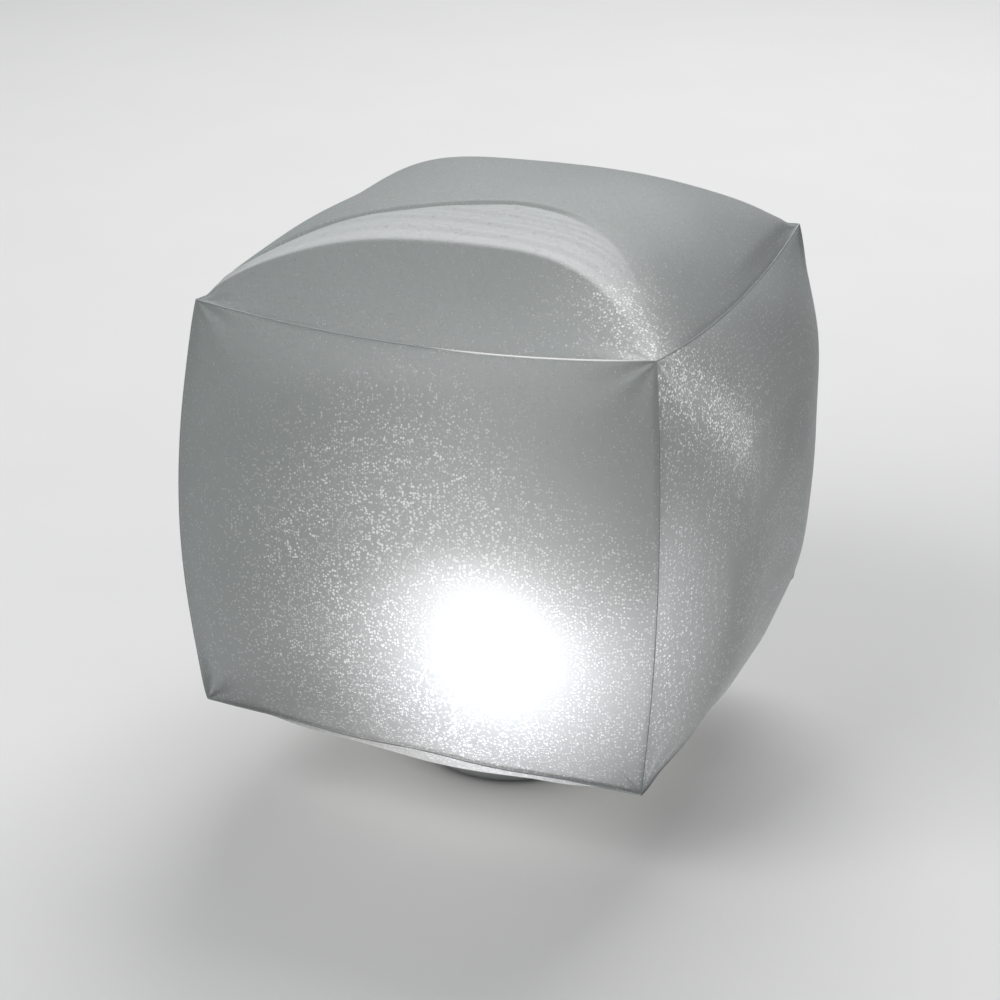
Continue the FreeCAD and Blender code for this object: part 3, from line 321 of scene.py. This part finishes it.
def settle_bottom(points, move):
    """The bottom panel's move: none at its socket and valve, and drawn up round the lamp."""
    out_to = np.hypot(points[..., 0], points[..., 1])
    from_valve = np.hypot(points[..., 0] - VALVE_PLACE[0], points[..., 1] - VALVE_PLACE[1]) - VALVE_REST
    off_valve = ease(from_valve / VALVE_EASE)
    settled = move * (ease((out_to - FLAT_RADIUS) / SOCKET_EASE) * off_valve)[..., None]
    lift = BOTTOM_LIFT * hump(out_to - BOTTOM_LIFT_PLACE, BOTTOM_LIFT_REACH)
    settled[..., 2] += lift * ease((out_to - BOTTOM_LIFT_START) / BOTTOM_LIFT_EASE) * off_valve
    return settled


def film(panel, s, t):
    """The film's points at s, t of a panel (each -1 to 1), the painted highlight on its slack's band, and the
    painted shine along its ridge.
    """
    axis, side = panel
    level = np.full(s.shape, float(side))
    unit = np.stack({0: [level, s, t], 1: [s, level, t], 2: [s, t, level]}[axis], -1)
    points = level_panel(side, s, t) if axis == 2 else side_panel(axis, side, s, t)
    edge = (1 - np.maximum(abs(s), abs(t))) * CORNER_HALF
    push = puckers(points) + hem(points) + slack(points) * ease(edge / SLACK_SEAM_REST)
    push -= WELD_TUCK * hump(edge, WELD_REACH)
    for place, rise, reach in SWELLINGS:
        push += rise * hump(np.linalg.norm(points - np.array(place), axis=-1), reach)
    pale, shine = np.zeros(s.shape), np.zeros(s.shape)
    if panel == TOP:
        rise, pale = fold(points)
        push += rise * ease((1 - abs(s)) * CORNER_HALF / FOLD_SEAM_REST) + corner_fill(s, t, edge)
    if panel in RIDGES:
        a, b, start, end, reach, way = RIDGES[panel]
        shine = way * ridge(points[..., a], points[..., b], start, end, reach)
    out = points / np.linalg.norm(points, axis=-1, keepdims=True)
    move = out * push[..., None] + corner_shift(unit)
    if panel == BOTTOM:
        move = settle_bottom(points, move)
    return points + move, pale, shine


# ---- the film's pieces -----------------------------------------------------------------------------
def to_scene(points):
    """Millimetres from the cube's centre, as metres in the frame."""
    return (points + np.array([0, 0, CENTRE_LEVEL])) * MM


def link_to_cube(name, data):
    """A new piece of the inflatable cube."""
    piece = bpy.data.objects.new(name, data)
    bpy.context.scene.collection.objects.link(piece)
    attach(piece, "inflatable")
    return piece


def sheet_mesh(name, grids, keeps, material, paints=None):
    """One mesh of quads through grids of points, without the cells that are False in keeps. The paints
    are named values at the points of the one grid."""
    corners, faces, start = [], [], 0
    for points, keep in zip(grids, keeps):
        rows, columns = points.shape[:2]
        index = np.arange(rows * columns).reshape(rows, columns)
        quads = np.stack([index[:-1, :-1], index[1:, :-1], index[1:, 1:], index[:-1, 1:]], -1)[keep]
        used = np.unique(quads)
        lookup = np.zeros(rows * columns, int)
        lookup[used] = np.arange(len(used)) + start
        corners.extend(to_scene(points.reshape(-1, 3)[used]).tolist())
        faces.extend(lookup[quads].tolist())
        start += len(used)
    mesh = bpy.data.meshes.new(name)
    mesh.from_pydata(corners, [], faces)
    mesh.polygons.foreach_set("use_smooth", [True] * len(mesh.polygons))
    for paint, values in (paints or {}).items():
        attribute = mesh.attributes.new(paint, "FLOAT", "POINT")
        attribute.data.foreach_set("value", values.reshape(-1)[used].astype(np.float32))
    mesh.materials.append(material)
    return mesh


def film_panel(name, node, panel, material, holes=()):
    """One panel of the film, which stands for its CAD node, with round holes at (x, y, radius)."""
    even = np.linspace(-1, 1, CELLS + 1)
    steps = (1 - CROWDING) * even + CROWDING * np.sin(even * math.pi / 2)
    s, t = np.meshgrid(steps, steps, indexing="ij")
    points, pale, shine = film(panel, s, t)
    middle = (points[:-1, :-1] + points[1:, 1:]) / 2
    keep = np.ones(middle.shape[:2], bool)
    for x, y, radius in holes:
        keep &= np.hypot(middle[..., 0] - x, middle[..., 1] - y) > radius
    axis, side = panel
    if (side > 0) == (axis == 1):       # so that every face looks outwards
        points, keep, pale, shine = points[::-1], keep[::-1], pale[::-1], shine[::-1]
    mesh = sheet_mesh(name, [points], [keep], material, {"painted_fold_light": pale, "ridge_shine": shine})
    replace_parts(link_to_cube(name, mesh), node)


def seams():
    """The twelve seams, each a row of points from corner to corner and how thick its bead is."""
    run = np.linspace(-1, 1, CELLS + 1)
    for side in (-1, 1):
        for other in (-1, 1):
            same = np.full(run.shape, float(other))
            yield film((0, side), same, run)[0], UPRIGHT_BEAD
            yield film((2, side), same, run)[0], 1.0
            yield film((2, side), run, same)[0], 1.0


def weld_seams(bead, fin):
    """Along each seam, the bead of melted film outside and the weld allowance inside."""
    curve = bpy.data.curves.new("weld_beads", "CURVE")
    curve.dimensions = "3D"
    curve.bevel_depth = BEAD_RADIUS * MM
    curve.bevel_resolution = BEAD_RESOLUTION
    curve.use_fill_caps = True
    grids = []
    for row, thickness in seams():
        spline = curve.splines.new("POLY")
        spline.points.add(len(row) - 1)
        for point, place in zip(spline.points, to_scene(row)):
            point.co = (*place, 1)
            point.radius = thickness
        spline.use_smooth = True
        inward = row / np.linalg.norm(row, axis=-1, keepdims=True)
        grids.append(np.stack([row - inward * BEAD_RADIUS, row - inward * FIN_WIDTH], 1))
    curve.materials.append(bead)
    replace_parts(link_to_cube("weld_beads", curve), "weld_flanges")
    keeps = [np.ones((grid.shape[0] - 1, 1), bool) for grid in grids]
    link_to_cube("weld_fins", sheet_mesh("weld_fins", grids, keeps, fin))


# ---- where the light falls -------------------------------------------------------------------------
# each light's place, in metres, how far it reaches in millimetres, and how steeply it ends; round these the
# materials get painted glow, glints and highlights as emission
LAMP_LIGHT = (0.0, 0.0, 0.041)      # inside the lens
LENS_SPOT = (LAMP_LIGHT, 20.0, 2.0)
LEAK = (LAMP_LIGHT, 92.0, 8.0)      # painted glow: what the lamp throws straight into the film round it
NEAR_LAMP = (LAMP_LIGHT, 120.0, 3.0)
DENSE = ((0.026, -0.105, 0.118), 82.0, 5.0)     # the part of the front panel that sparkles most, with painted glints and more flakes
BRIGHT = ((0.033, -0.105, 0.130), 54.0, 2.0)    # and a painted hot spot of glow, where the lamp's light through the film is brightest
LIT_BEAD = ((0.049, -0.092, 0.206), 36.0, 6.0)  # a painted highlight on the bright stretch of the near top seam
LAMP_SPARKLE = 0.11         # the share of the flakes' painted glints that each of these gives
LEAK_SPARKLE = 0.5
DENSE_SPARKLE = 0.8
RIDGE_SPARKLE = 1.3
LEAK_GLOW = 0.62            # and of the film's painted glow
BRIGHT_GLOW = 0.35
RIDGE_GLOW = 0.16
BEAD_GLOW = 0.5
LENS_GLOW = (1.2, 4.0)      # at the lens's rim and in its middle


def nearness(tree, place, light):
    """1 at a light's centre, falling to 1/e at its reach."""
    centre, reach, power = light
    away = add(tree, "VectorMath", {1: centre}, {0: place}, operation="DISTANCE")
    share = add(tree, "Math", {1: reach * MM}, {0: away.outputs["Value"]}, operation="DIVIDE")
    steep = add(tree, "Math", {1: power}, {0: share.outputs[0]}, operation="POWER")
    under = add(tree, "Math", {1: -1.0}, {0: steep.outputs[0]}, operation="MULTIPLY")
    return add(tree, "Math", links={0: under.outputs[0]}, operation="EXPONENT").outputs[0]


def summed(tree, shares):
    """The sum of some values, each times its share."""
    total = add(tree, "Math", {1: shares[0][0]}, {0: shares[0][1]}, operation="MULTIPLY")
    for share, value in shares[1:]:
        total = add(tree, "Math", {1: share}, {0: value, 2: total.outputs[0]}, operation="MULTIPLY_ADD")
    return total.outputs[0]


# ---- materials -------------------------------------------------------------------------------------
FLAKE = 0.92                # millimetres across a glitter flake, coarser than real so that it shows
FLAKE_EDGE = (0.50, 0.32)   # the outside and the inside of its rim, from its middle, as shares of that
FLAKE_FEWEST = 0.22         # the share of places that hold a flake where the painted light is weakest
FLAKE_CROWD = 0.62          # and how much more do where it is brightest
FLAKE_VIVID = 1.8           # the higher it is, the fewer of them are very bright
FLAKE_LIGHT = (0.15, 1.9)   # how bright the dullest and the brightest painted glints are
FLAKE_TILT = 0.7            # how far a flake may lean out of the film
FLAKE_COVER = 0.5           # how much of the film a flake hides
FLAKE_GLINT = 0.5           # the share of a flake's light that it bends; the rest it spreads
FILM_THROUGH = 0.30         # the share of the light that passes the film
FILM_HAZE = 0.94            # the share of that which blurs; the rest is spread evenly
FILM_CLOUD = 60.0           # millimetres across the film's faint clouds
BEAD_MELT = 6.0             # and across the patterns of the other materials
VINYL_HAZE = 14.0
FLOW_MARKS = 22.0
LENS_FROST = 0.8            # coarser than real, so that it shows
STEEL_MARKS = 2.0
STEEL_STRETCH = 12          # how many times longer than wide the marks are
PAPER_FLECK = 90.0
WEAR = (-0.06, 0.08)        # how much smoother and rougher a moulded face gets
GRAIN_STRENGTH = 0.5
FROST_STRENGTH = 0.3
FROST_DEPTH = 0.05


def glitter_flakes(tree, place, where):
    """Flakes of cut foil in the film: where one lies, how bright its painted glint is, and which way it
    faces.
    """
    cells = add(tree, "TexVoronoi", {"Scale": per_mm(FLAKE), "Randomness": 1.0}, {"Vector": place})
    chance = add(tree, "SeparateColor", links={"Color": cells.outputs["Color"]})
    crowd = add(tree, "Math", {1: FLAKE_CROWD, 2: FLAKE_FEWEST}, {0: where}, operation="MULTIPLY_ADD")
    picked = add(tree, "Math", links={0: chance.outputs["Red"], 1: crowd.outputs[0]}, operation="LESS_THAN")
    small = add(tree, "MapRange", {"From Min": FLAKE_EDGE[0], "From Max": FLAKE_EDGE[1]},
                {"Value": cells.outputs["Distance"]})
    speck = add(tree, "Math", links={0: picked.outputs[0], 1: small.outputs[0]}, operation="MULTIPLY")
    vivid = add(tree, "Math", {1: FLAKE_VIVID}, {0: chance.outputs["Green"]}, operation="POWER")
    light = add(tree, "MapRange", {"To Min": FLAKE_LIGHT[0], "To Max": FLAKE_LIGHT[1]},
                {"Value": vivid.outputs[0]})
    lean = add(tree, "VectorMath", {1: (0.5, 0.5, 0.5)}, {0: cells.outputs["Color"]}, operation="SUBTRACT")
    tilt = add(tree, "VectorMath", {"Scale": FLAKE_TILT}, {0: lean.outputs[0]}, operation="SCALE")
    facing = add(tree, "NewGeometry").outputs["Normal"]
    turned = add(tree, "VectorMath", links={0: facing, 1: tilt.outputs[0]}, operation="ADD")
    face = add(tree, "VectorMath", links={0: turned.outputs[0]}, operation="NORMALIZE")
    return speck.outputs[0], light.outputs[0], face.outputs[0]


def calendered_glitter_film():
    """PVC film, calendered with a frosted face and cast with fine glitter: milky and soft, with specks that
    catch the light.
    Painted as emission: the lamp's glow, brightest round the lamp and on a hot spot of the front panel,
    glints on the specks, a shine along the ridges, and a highlight that makes the slack's band paler."""
    material, tree, out, place = new_material("calendered_glitter_pvc")
    # the painted highlight on the fold's band, held on the film's points
    pale = add(tree, "Attribute", attribute_name="painted_fold_light").outputs["Fac"]
    # the painted shine along the ridges, held on the film's points
    ridge_shine = add(tree, "Attribute", attribute_name="ridge_shine").outputs["Fac"]
    ridge_only = add(tree, "Math", {1: 0.0}, {0: ridge_shine}, operation="MAXIMUM").outputs[0]
    # painted light as emission: the lamp's glow, its hot spot on the front panel, the ridges' shine and the
    # flakes' glints
    leak = nearness(tree, place, LEAK)
    where = summed(tree, [(LAMP_SPARKLE, nearness(tree, place, NEAR_LAMP)), (LEAK_SPARKLE, leak),
                          (DENSE_SPARKLE, nearness(tree, place, DENSE)), (RIDGE_SPARKLE, ridge_shine)])
    glow = summed(tree, [(LEAK_GLOW, leak), (BRIGHT_GLOW, nearness(tree, place, BRIGHT)),
                         (RIDGE_GLOW, ridge_only)])
    where = add(tree, "Clamp", links={"Value": where}).outputs[0]
    speck, flake_light, flake_face = glitter_flakes(tree, place, where)
    # painted glints: each flake shines as emission, and more flakes lie where the painted light is strongest
    sparkle = add(tree, "Math", links={0: speck, 1: flake_light}, operation="MULTIPLY")
    lit = add(tree, "Math", links={0: sparkle.outputs[0], 1: where}, operation="MULTIPLY")
    total = add(tree, "Math", links={0: glow, 1: lit.outputs[0]}, operation="ADD")
    cloud = add(tree, "TexNoise", {"Scale": per_mm(FILM_CLOUD), "Detail": 3.0, "Roughness": 0.5},
                {"Vector": place})
    milk = add(tree, "MixRGB", {"Color1": srgb("#8F9594"), "Color2": srgb("#9AA09F")},
               {"Fac": cloud.outputs["Fac"]})
    # the painted highlight turns the fold's band pale grey
    fold_lit_tone = add(tree, "MixRGB", {"Color2": srgb("#C8CBCB")}, {"Fac": pale, "Color1": milk.outputs[0]})
    face = add(tree, "BsdfPrincipled", {"Roughness": 0.5, "Specular IOR Level": 0.4, "IOR": 1.53,
                                        "Emission Color": srgb("#FCFAF9")},
               {"Base Color": fold_lit_tone.outputs[0], "Emission Strength": total.outputs[0]})
    haze = add(tree, "BsdfRefraction", {"Color": srgb("#F9F5F3"), "Roughness": 1.0, "IOR": 1.48},
               distribution="BECKMANN")
    soak = add(tree, "BsdfTranslucent", {"Color": srgb("#E8ECED")})
    passing = add(tree, "MixShader", {"Fac": FILM_HAZE}, {1: soak.outputs[0], 2: haze.outputs[0]})
    body = add(tree, "MixShader", {"Fac": FILM_THROUGH}, {1: face.outputs[0], 2: passing.outputs[0]})
    glint = add(tree, "BsdfRefraction", {"Color": srgb("#FFFFFF"), "Roughness": 0.6, "IOR": 1.35},
                {"Normal": flake_face}, distribution="GGX")
    spread = add(tree, "BsdfTranslucent", {"Color": srgb("#FAF7F5")})
    flake = add(tree, "MixShader", {"Fac": FLAKE_GLINT}, {1: spread.outputs[0], 2: glint.outputs[0]})
    cover = add(tree, "Math", {1: FLAKE_COVER}, {0: speck}, operation="MULTIPLY")
    glitter = add(tree, "MixShader", links={"Fac": cover.outputs[0], 1: body.outputs[0], 2: flake.outputs[0]})
    tree.links.new(glitter.outputs[0], out.inputs["Surface"])
    return material


def pressed_clear_vinyl():
    """Unfilled soft PVC, pressed: clear and glossy with a faint haze."""
    material, tree, out, place = new_material("pressed_clear_pvc")
    haze = add(tree, "TexNoise", {"Scale": per_mm(VINYL_HAZE), "Detail": 3.0}, {"Vector": place})
    rough = add(tree, "MapRange", {"To Min": 0.12, "To Max": 0.26}, {"Value": haze.outputs["Fac"]})
    shell = add(tree, "BsdfPrincipled", {"Base Color": srgb("#DDE2E3"), "Alpha": 0.28, "IOR": 1.53},
                {"Roughness": rough.outputs[0]})
    tree.links.new(shell.outputs[0], out.inputs["Surface"])
    return material


def moulded(name, tones, roughness, grain, depth=0.02, **values):
    """Plastic or rubber, moulded or drawn: faint flow marks between two tones, and a grain that is
    coarser than the tool's own, so that it shows. The grain's width and depth are in millimetres."""
    material, tree, out, place = new_material(name)
    flow = add(tree, "TexNoise", {"Scale": per_mm(FLOW_MARKS), "Detail": 2.0}, {"Vector": place})
    colour = add(tree, "MixRGB", {"Color1": srgb(tones[0]), "Color2": srgb(tones[1])},
                 {"Fac": flow.outputs["Fac"]})
    texture = add(tree, "TexNoise", {"Scale": per_mm(grain), "Detail": 3.0}, {"Vector": place})
    wear = add(tree, "MapRange", {"To Min": roughness + WEAR[0], "To Max": roughness + WEAR[1]},
               {"Value": flow.outputs["Fac"]})
    bump = add(tree, "Bump", {"Strength": GRAIN_STRENGTH, "Distance": depth * MM},
               {"Height": texture.outputs["Fac"]})
    body = add(tree, "BsdfPrincipled", {"IOR": 1.53, **values},
               {"Base Color": colour.outputs[0], "Roughness": wear.outputs[0], "Normal": bump.outputs[0]})
    tree.links.new(body.outputs[0], out.inputs["Surface"])
    return material


def welded_bead():
    """PVC melted along the high-frequency weld and set smooth: a thin line, grey where it shades the film,
    and white from a painted highlight along the stretch of the near top seam that catches the lamp."""
    material, tree, out, place = new_material("welded_pvc_bead")
    melt = add(tree, "TexNoise", {"Scale": per_mm(BEAD_MELT), "Detail": 2.0}, {"Vector": place})
    tone = add(tree, "MixRGB", {"Color1": srgb("#8B9191"), "Color2": srgb("#9AA0A0")},
               {"Fac": melt.outputs["Fac"]})
    # painted highlight: the bead glows white along the near top seam
    glow = add(tree, "Math", {1: BEAD_GLOW}, {0: nearness(tree, place, LIT_BEAD)}, operation="MULTIPLY")
    body = add(tree, "BsdfPrincipled", {"Roughness": 0.25, "IOR": 1.53, "Emission Color": srgb("#FFFCFA")},
               {"Base Color": tone.outputs[0], "Emission Strength": glow.outputs[0]})
    tree.links.new(body.outputs[0], out.inputs["Surface"])
    return material


def moulded_opal_lens():
    """Opal polycarbonate, moulded with a fine frost, lit from behind by the chips."""
    material, tree, out, place = new_material("moulded_opal_polycarbonate")
    power = add(tree, "MapRange", {"To Min": LENS_GLOW[0], "To Max": LENS_GLOW[1]},
                {"Value": nearness(tree, place, LENS_SPOT)})
    frost = add(tree, "TexNoise", {"Scale": per_mm(LENS_FROST), "Detail": 2.0}, {"Vector": place})
    bump = add(tree, "Bump", {"Strength": FROST_STRENGTH, "Distance": FROST_DEPTH * MM},
               {"Height": frost.outputs["Fac"]})
    lens = add(tree, "BsdfPrincipled", {"Base Color": srgb("#F1F3F3"), "Roughness": 0.5, "IOR": 1.58,
                                        "Emission Color": srgb("#F6FAFF")},
               {"Emission Strength": power.outputs[0], "Normal": bump.outputs[0]})
    tree.links.new(lens.outputs[0], out.inputs["Surface"])
    return material


def nickel_plated_steel():
    """Nickel-plated steel, stamped or turned: bright, with fine marks along X."""
    material, tree, out, place = new_material("nickel_plated_steel")
    stretch = add(tree, "Mapping", {"Scale": (1, STEEL_STRETCH, STEEL_STRETCH)}, {"Vector": place})
    marks = add(tree, "TexNoise", {"Scale": per_mm(STEEL_MARKS), "Detail": 4.0},
                {"Vector": stretch.outputs[0]})
    rough = add(tree, "MapRange", {"To Min": 0.2, "To Max": 0.38}, {"Value": marks.outputs["Fac"]})
    metal = add(tree, "BsdfPrincipled", {"Base Color": srgb("#BDBAB4"), "Metallic": 1.0},
                {"Roughness": rough.outputs[0]})
    tree.links.new(metal.outputs[0], out.inputs["Surface"])
    return material


FILM = calendered_glitter_film()
WELD_BEAD = welded_bead()
CLEAR = pressed_clear_vinyl()
LENS = moulded_opal_lens()
STEEL = nickel_plated_steel()
# ABS from a spark-eroded mould: a pale grey satin skin that takes a soft edge of light
GREY_ABS = moulded("moulded_grey_abs", ("#B5B8B8", "#BDC0C0"), 0.36, 0.5)
# soft PVC, moulded thick: near white and a little waxy
SOFT_WHITE = moulded("moulded_white_pvc", ("#D6D8D7", "#DDDFDE"), 0.42, 0.9)
# thermoplastic elastomer: a matt mid grey that looks soft to the finger
GREY_TPE = moulded("moulded_grey_tpe", ("#8E9193", "#9A9C9E"), 0.6, 0.4, depth=0.04)
# nitrile rubber, pressed: dull black with hardly a highlight
BLACK_RUBBER = moulded("pressed_nitrile_rubber", ("#1B1B1C", "#232324"), 0.62, 0.6, depth=0.03)
# nylon, moulded: a black that greys a little where it catches light
BLACK_NYLON = moulded("moulded_black_nylon", ("#1E1F21", "#26272A"), 0.5, 0.5)
# a plain printed sleeve, shrunk on the cell's steel can: dark, smooth and half metallic
CELL_JACKET = moulded("printed_steel_jacket", ("#2C3138", "#343A42"), 0.28, 6.0, depth=0.005, Metallic=0.5)
# polystyrene from a polished mould: a white gloss that throws the chips' light up
WHITE_GLOSS = moulded("moulded_white_polystyrene", ("#EDEDEA", "#F1F1EE"), 0.2, 2.0, depth=0.005)
# solder mask, screen printed: an even, faintly green white
SOLDER_MASK = moulded("printed_white_solder_mask", ("#D9DDDA", "#E2E5E2"), 0.4, 1.2, depth=0.01)
# resin with phosphor, cast over the chips: a pale yellow drop
CHIP_RESIN = moulded("cast_phosphor_resin", ("#E9DDA0", "#F0E6B4"), 0.3, 0.7, depth=0.01)
# PVC, extruded on the wire: smooth, with a soft sheen
RED_SLEEVE = moulded("extruded_red_pvc", ("#8E1A16", "#9B211C"), 0.4, 0.8, depth=0.01)
BLACK_SLEEVE = moulded("extruded_black_pvc", ("#161617", "#1D1D1E"), 0.4, 0.8, depth=0.01)

FINISHES = {
    "weld_flanges": FILM, "socket_ring": SOFT_WHITE, "lamp_pocket": CLEAR, "valve_body": CLEAR,
    "valve_cap": CLEAR, "valve_flap": CLEAR, "lock_ring": GREY_ABS, "lamp_body": GREY_ABS,
    "base_cover": GREY_ABS, "lens_bezel": GREY_ABS, "lens_dome": LENS, "reflector": WHITE_GLOSS,
    "power_button": GREY_TPE, "cover_seal": BLACK_RUBBER, "lens_seal": BLACK_RUBBER,
    "button_boot": BLACK_RUBBER, "cover_screws": STEEL, "board_screws": STEEL, "contact_leaves": STEEL,
    "contact_plates": STEEL, "battery_cells": CELL_JACKET, "battery_tray": BLACK_NYLON,
    "switch_case": BLACK_NYLON, "switch_plunger": BLACK_NYLON, "board_parts": BLACK_NYLON,
    "led_board": SOLDER_MASK, "switch_board": SOLDER_MASK, "led_chips": CHIP_RESIN,
    "red_lead": RED_SLEEVE, "switch_leads": RED_SLEEVE, "black_lead": BLACK_SLEEVE,
}
for node, finish in FINISHES.items():
    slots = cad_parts[node].data.materials
    if not slots:
        slots.append(finish)
    for i in range(len(slots)):
        slots[i] = finish

BOTTOM_HOLES = ((0.0, 0.0, SOCKET_HOLE), (*VALVE_PLACE, VALVE_HOLE))
film_panel("film_front", "front_panel", FRONT, FILM)
film_panel("film_rear", "rear_panel", REAR, FILM)
film_panel("film_left", "left_panel", LEFT, FILM)
film_panel("film_right", "right_panel", RIGHT, FILM)
film_panel("film_top", "top_panel", TOP, FILM)
film_panel("film_bottom", "bottom_panel", BOTTOM, FILM, BOTTOM_HOLES)
weld_seams(WELD_BEAD, FILM)

# ---- floor, light and camera, in metres ------------------------------------------------------------
CENTRE = Vector((0, 0, CENTRE_LEVEL * MM))
FLOOR_SIZE = 60
SOFT_BOXES = (              # place, width and watts
    ("key", (-0.95, -1.6, 1.7), 1.4, 33), ("fill", (1.7, -0.9, 0.9), 1.4, 2),
    ("top", (-0.1, 1.3, 1.8), 1.6, 36),
)
LAMP_WATTS = 0.168
LAMP_RADIUS = 0.01
ROOM_LIGHT = 0.38
CAMERA_AZIMUTH = 22.85      # in degrees, to the right of the front panel
CAMERA_ELEVATION = 22.98
CAMERA_DISTANCE = 0.925
CAMERA_LENS = 84.0          # in millimetres
CAMERA_SENSOR = 36
CAMERA_SHIFT = (-0.0116, -0.0439)


def stage_floor():
    """A pale paper sweep. It is drawn pale but throws the light up from a darker tone."""
    material, tree, out, place = new_material("pale_paper")
    fleck = add(tree, "TexNoise", {"Scale": per_mm(PAPER_FLECK), "Detail": 3.0}, {"Vector": place})
    tone = add(tree, "MixRGB", {"Color1": srgb("#D3D3D2"), "Color2": srgb("#D7D7D6")},
               {"Fac": fleck.outputs["Fac"]})
    path = add(tree, "LightPath")
    seen = add(tree, "Math", links={0: path.outputs["Is Camera Ray"], 1: path.outputs["Is Glossy Ray"]},
               operation="MAXIMUM")
    shown = add(tree, "Math", links={0: seen.outputs[0], 1: path.outputs["Is Transmission Ray"]},
                operation="MAXIMUM")
    bounce = add(tree, "MixRGB", {"Color1": srgb("#767675")},
                 {"Fac": shown.outputs[0], "Color2": tone.outputs[0]})
    paper = add(tree, "BsdfPrincipled", {"Roughness": 0.8}, {"Base Color": bounce.outputs[0]})
    tree.links.new(paper.outputs[0], out.inputs["Surface"])
    bpy.ops.mesh.primitive_plane_add(size=FLOOR_SIZE, location=(0, 0, 0))
    floor = bpy.context.active_object
    floor.name = "floor"
    floor.data.materials.append(material)


def soft_box(name, place, width, watts):
    """A square lamp that faces the cube's centre."""
    data = bpy.data.lights.new(name, "AREA")
    data.shape = "SQUARE"
    data.size = width
    data.energy = watts
    lamp = bpy.data.objects.new(name, data)
    bpy.context.scene.collection.objects.link(lamp)
    lamp.location = place
    lamp.rotation_euler = (CENTRE - Vector(place)).to_track_quat("-Z", "Y").to_euler()


def lamp_glow():
    """The light that the chips throw up through the lens and the clear pocket."""
    data = bpy.data.lights.new("lamp_glow", "POINT")
    data.energy = LAMP_WATTS
    data.shadow_soft_size = LAMP_RADIUS
    data.color = srgb("#F4F8FF")[:3]
    glow = bpy.data.objects.new("lamp_glow", data)
    bpy.context.scene.collection.objects.link(glow)
    glow.location = LAMP_LIGHT
    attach(glow, "lamp")
    glow.visible_camera = False
    for node in ("lens_dome", "lamp_pocket"):
        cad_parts[node].visible_shadow = False


def room_light():
    """Even, faintly cool light from all round."""
    world = bpy.data.worlds.new("studio")
    bpy.context.scene.world = world
    world.use_nodes = True
    background = world.node_tree.nodes["Background"]
    background.inputs["Color"].default_value = srgb("#D8DBDD")
    background.inputs["Strength"].default_value = ROOM_LIGHT


def camera():
    """The photograph's view: from the front, a little right and above."""
    turn, lift = math.radians(CAMERA_AZIMUTH), math.radians(CAMERA_ELEVATION)
    back = Vector((math.sin(turn) * math.cos(lift), -math.cos(turn) * math.cos(lift), math.sin(lift)))
    data = bpy.data.cameras.new("camera")
    data.lens = CAMERA_LENS
    data.sensor_width = CAMERA_SENSOR
    data.shift_x, data.shift_y = CAMERA_SHIFT
    seen = bpy.data.objects.new("camera", data)
    bpy.context.scene.collection.objects.link(seen)
    seen.location = CENTRE + back * CAMERA_DISTANCE
    seen.rotation_euler = (-back).to_track_quat("-Z", "Y").to_euler()
    bpy.context.scene.camera = seen


stage_floor()
for name, place, width, watts in SOFT_BOXES:
    soft_box(name, place, width, watts)
lamp_glow()
camera()
room_light()
bpy.context.scene.view_settings.view_transform = "Standard"
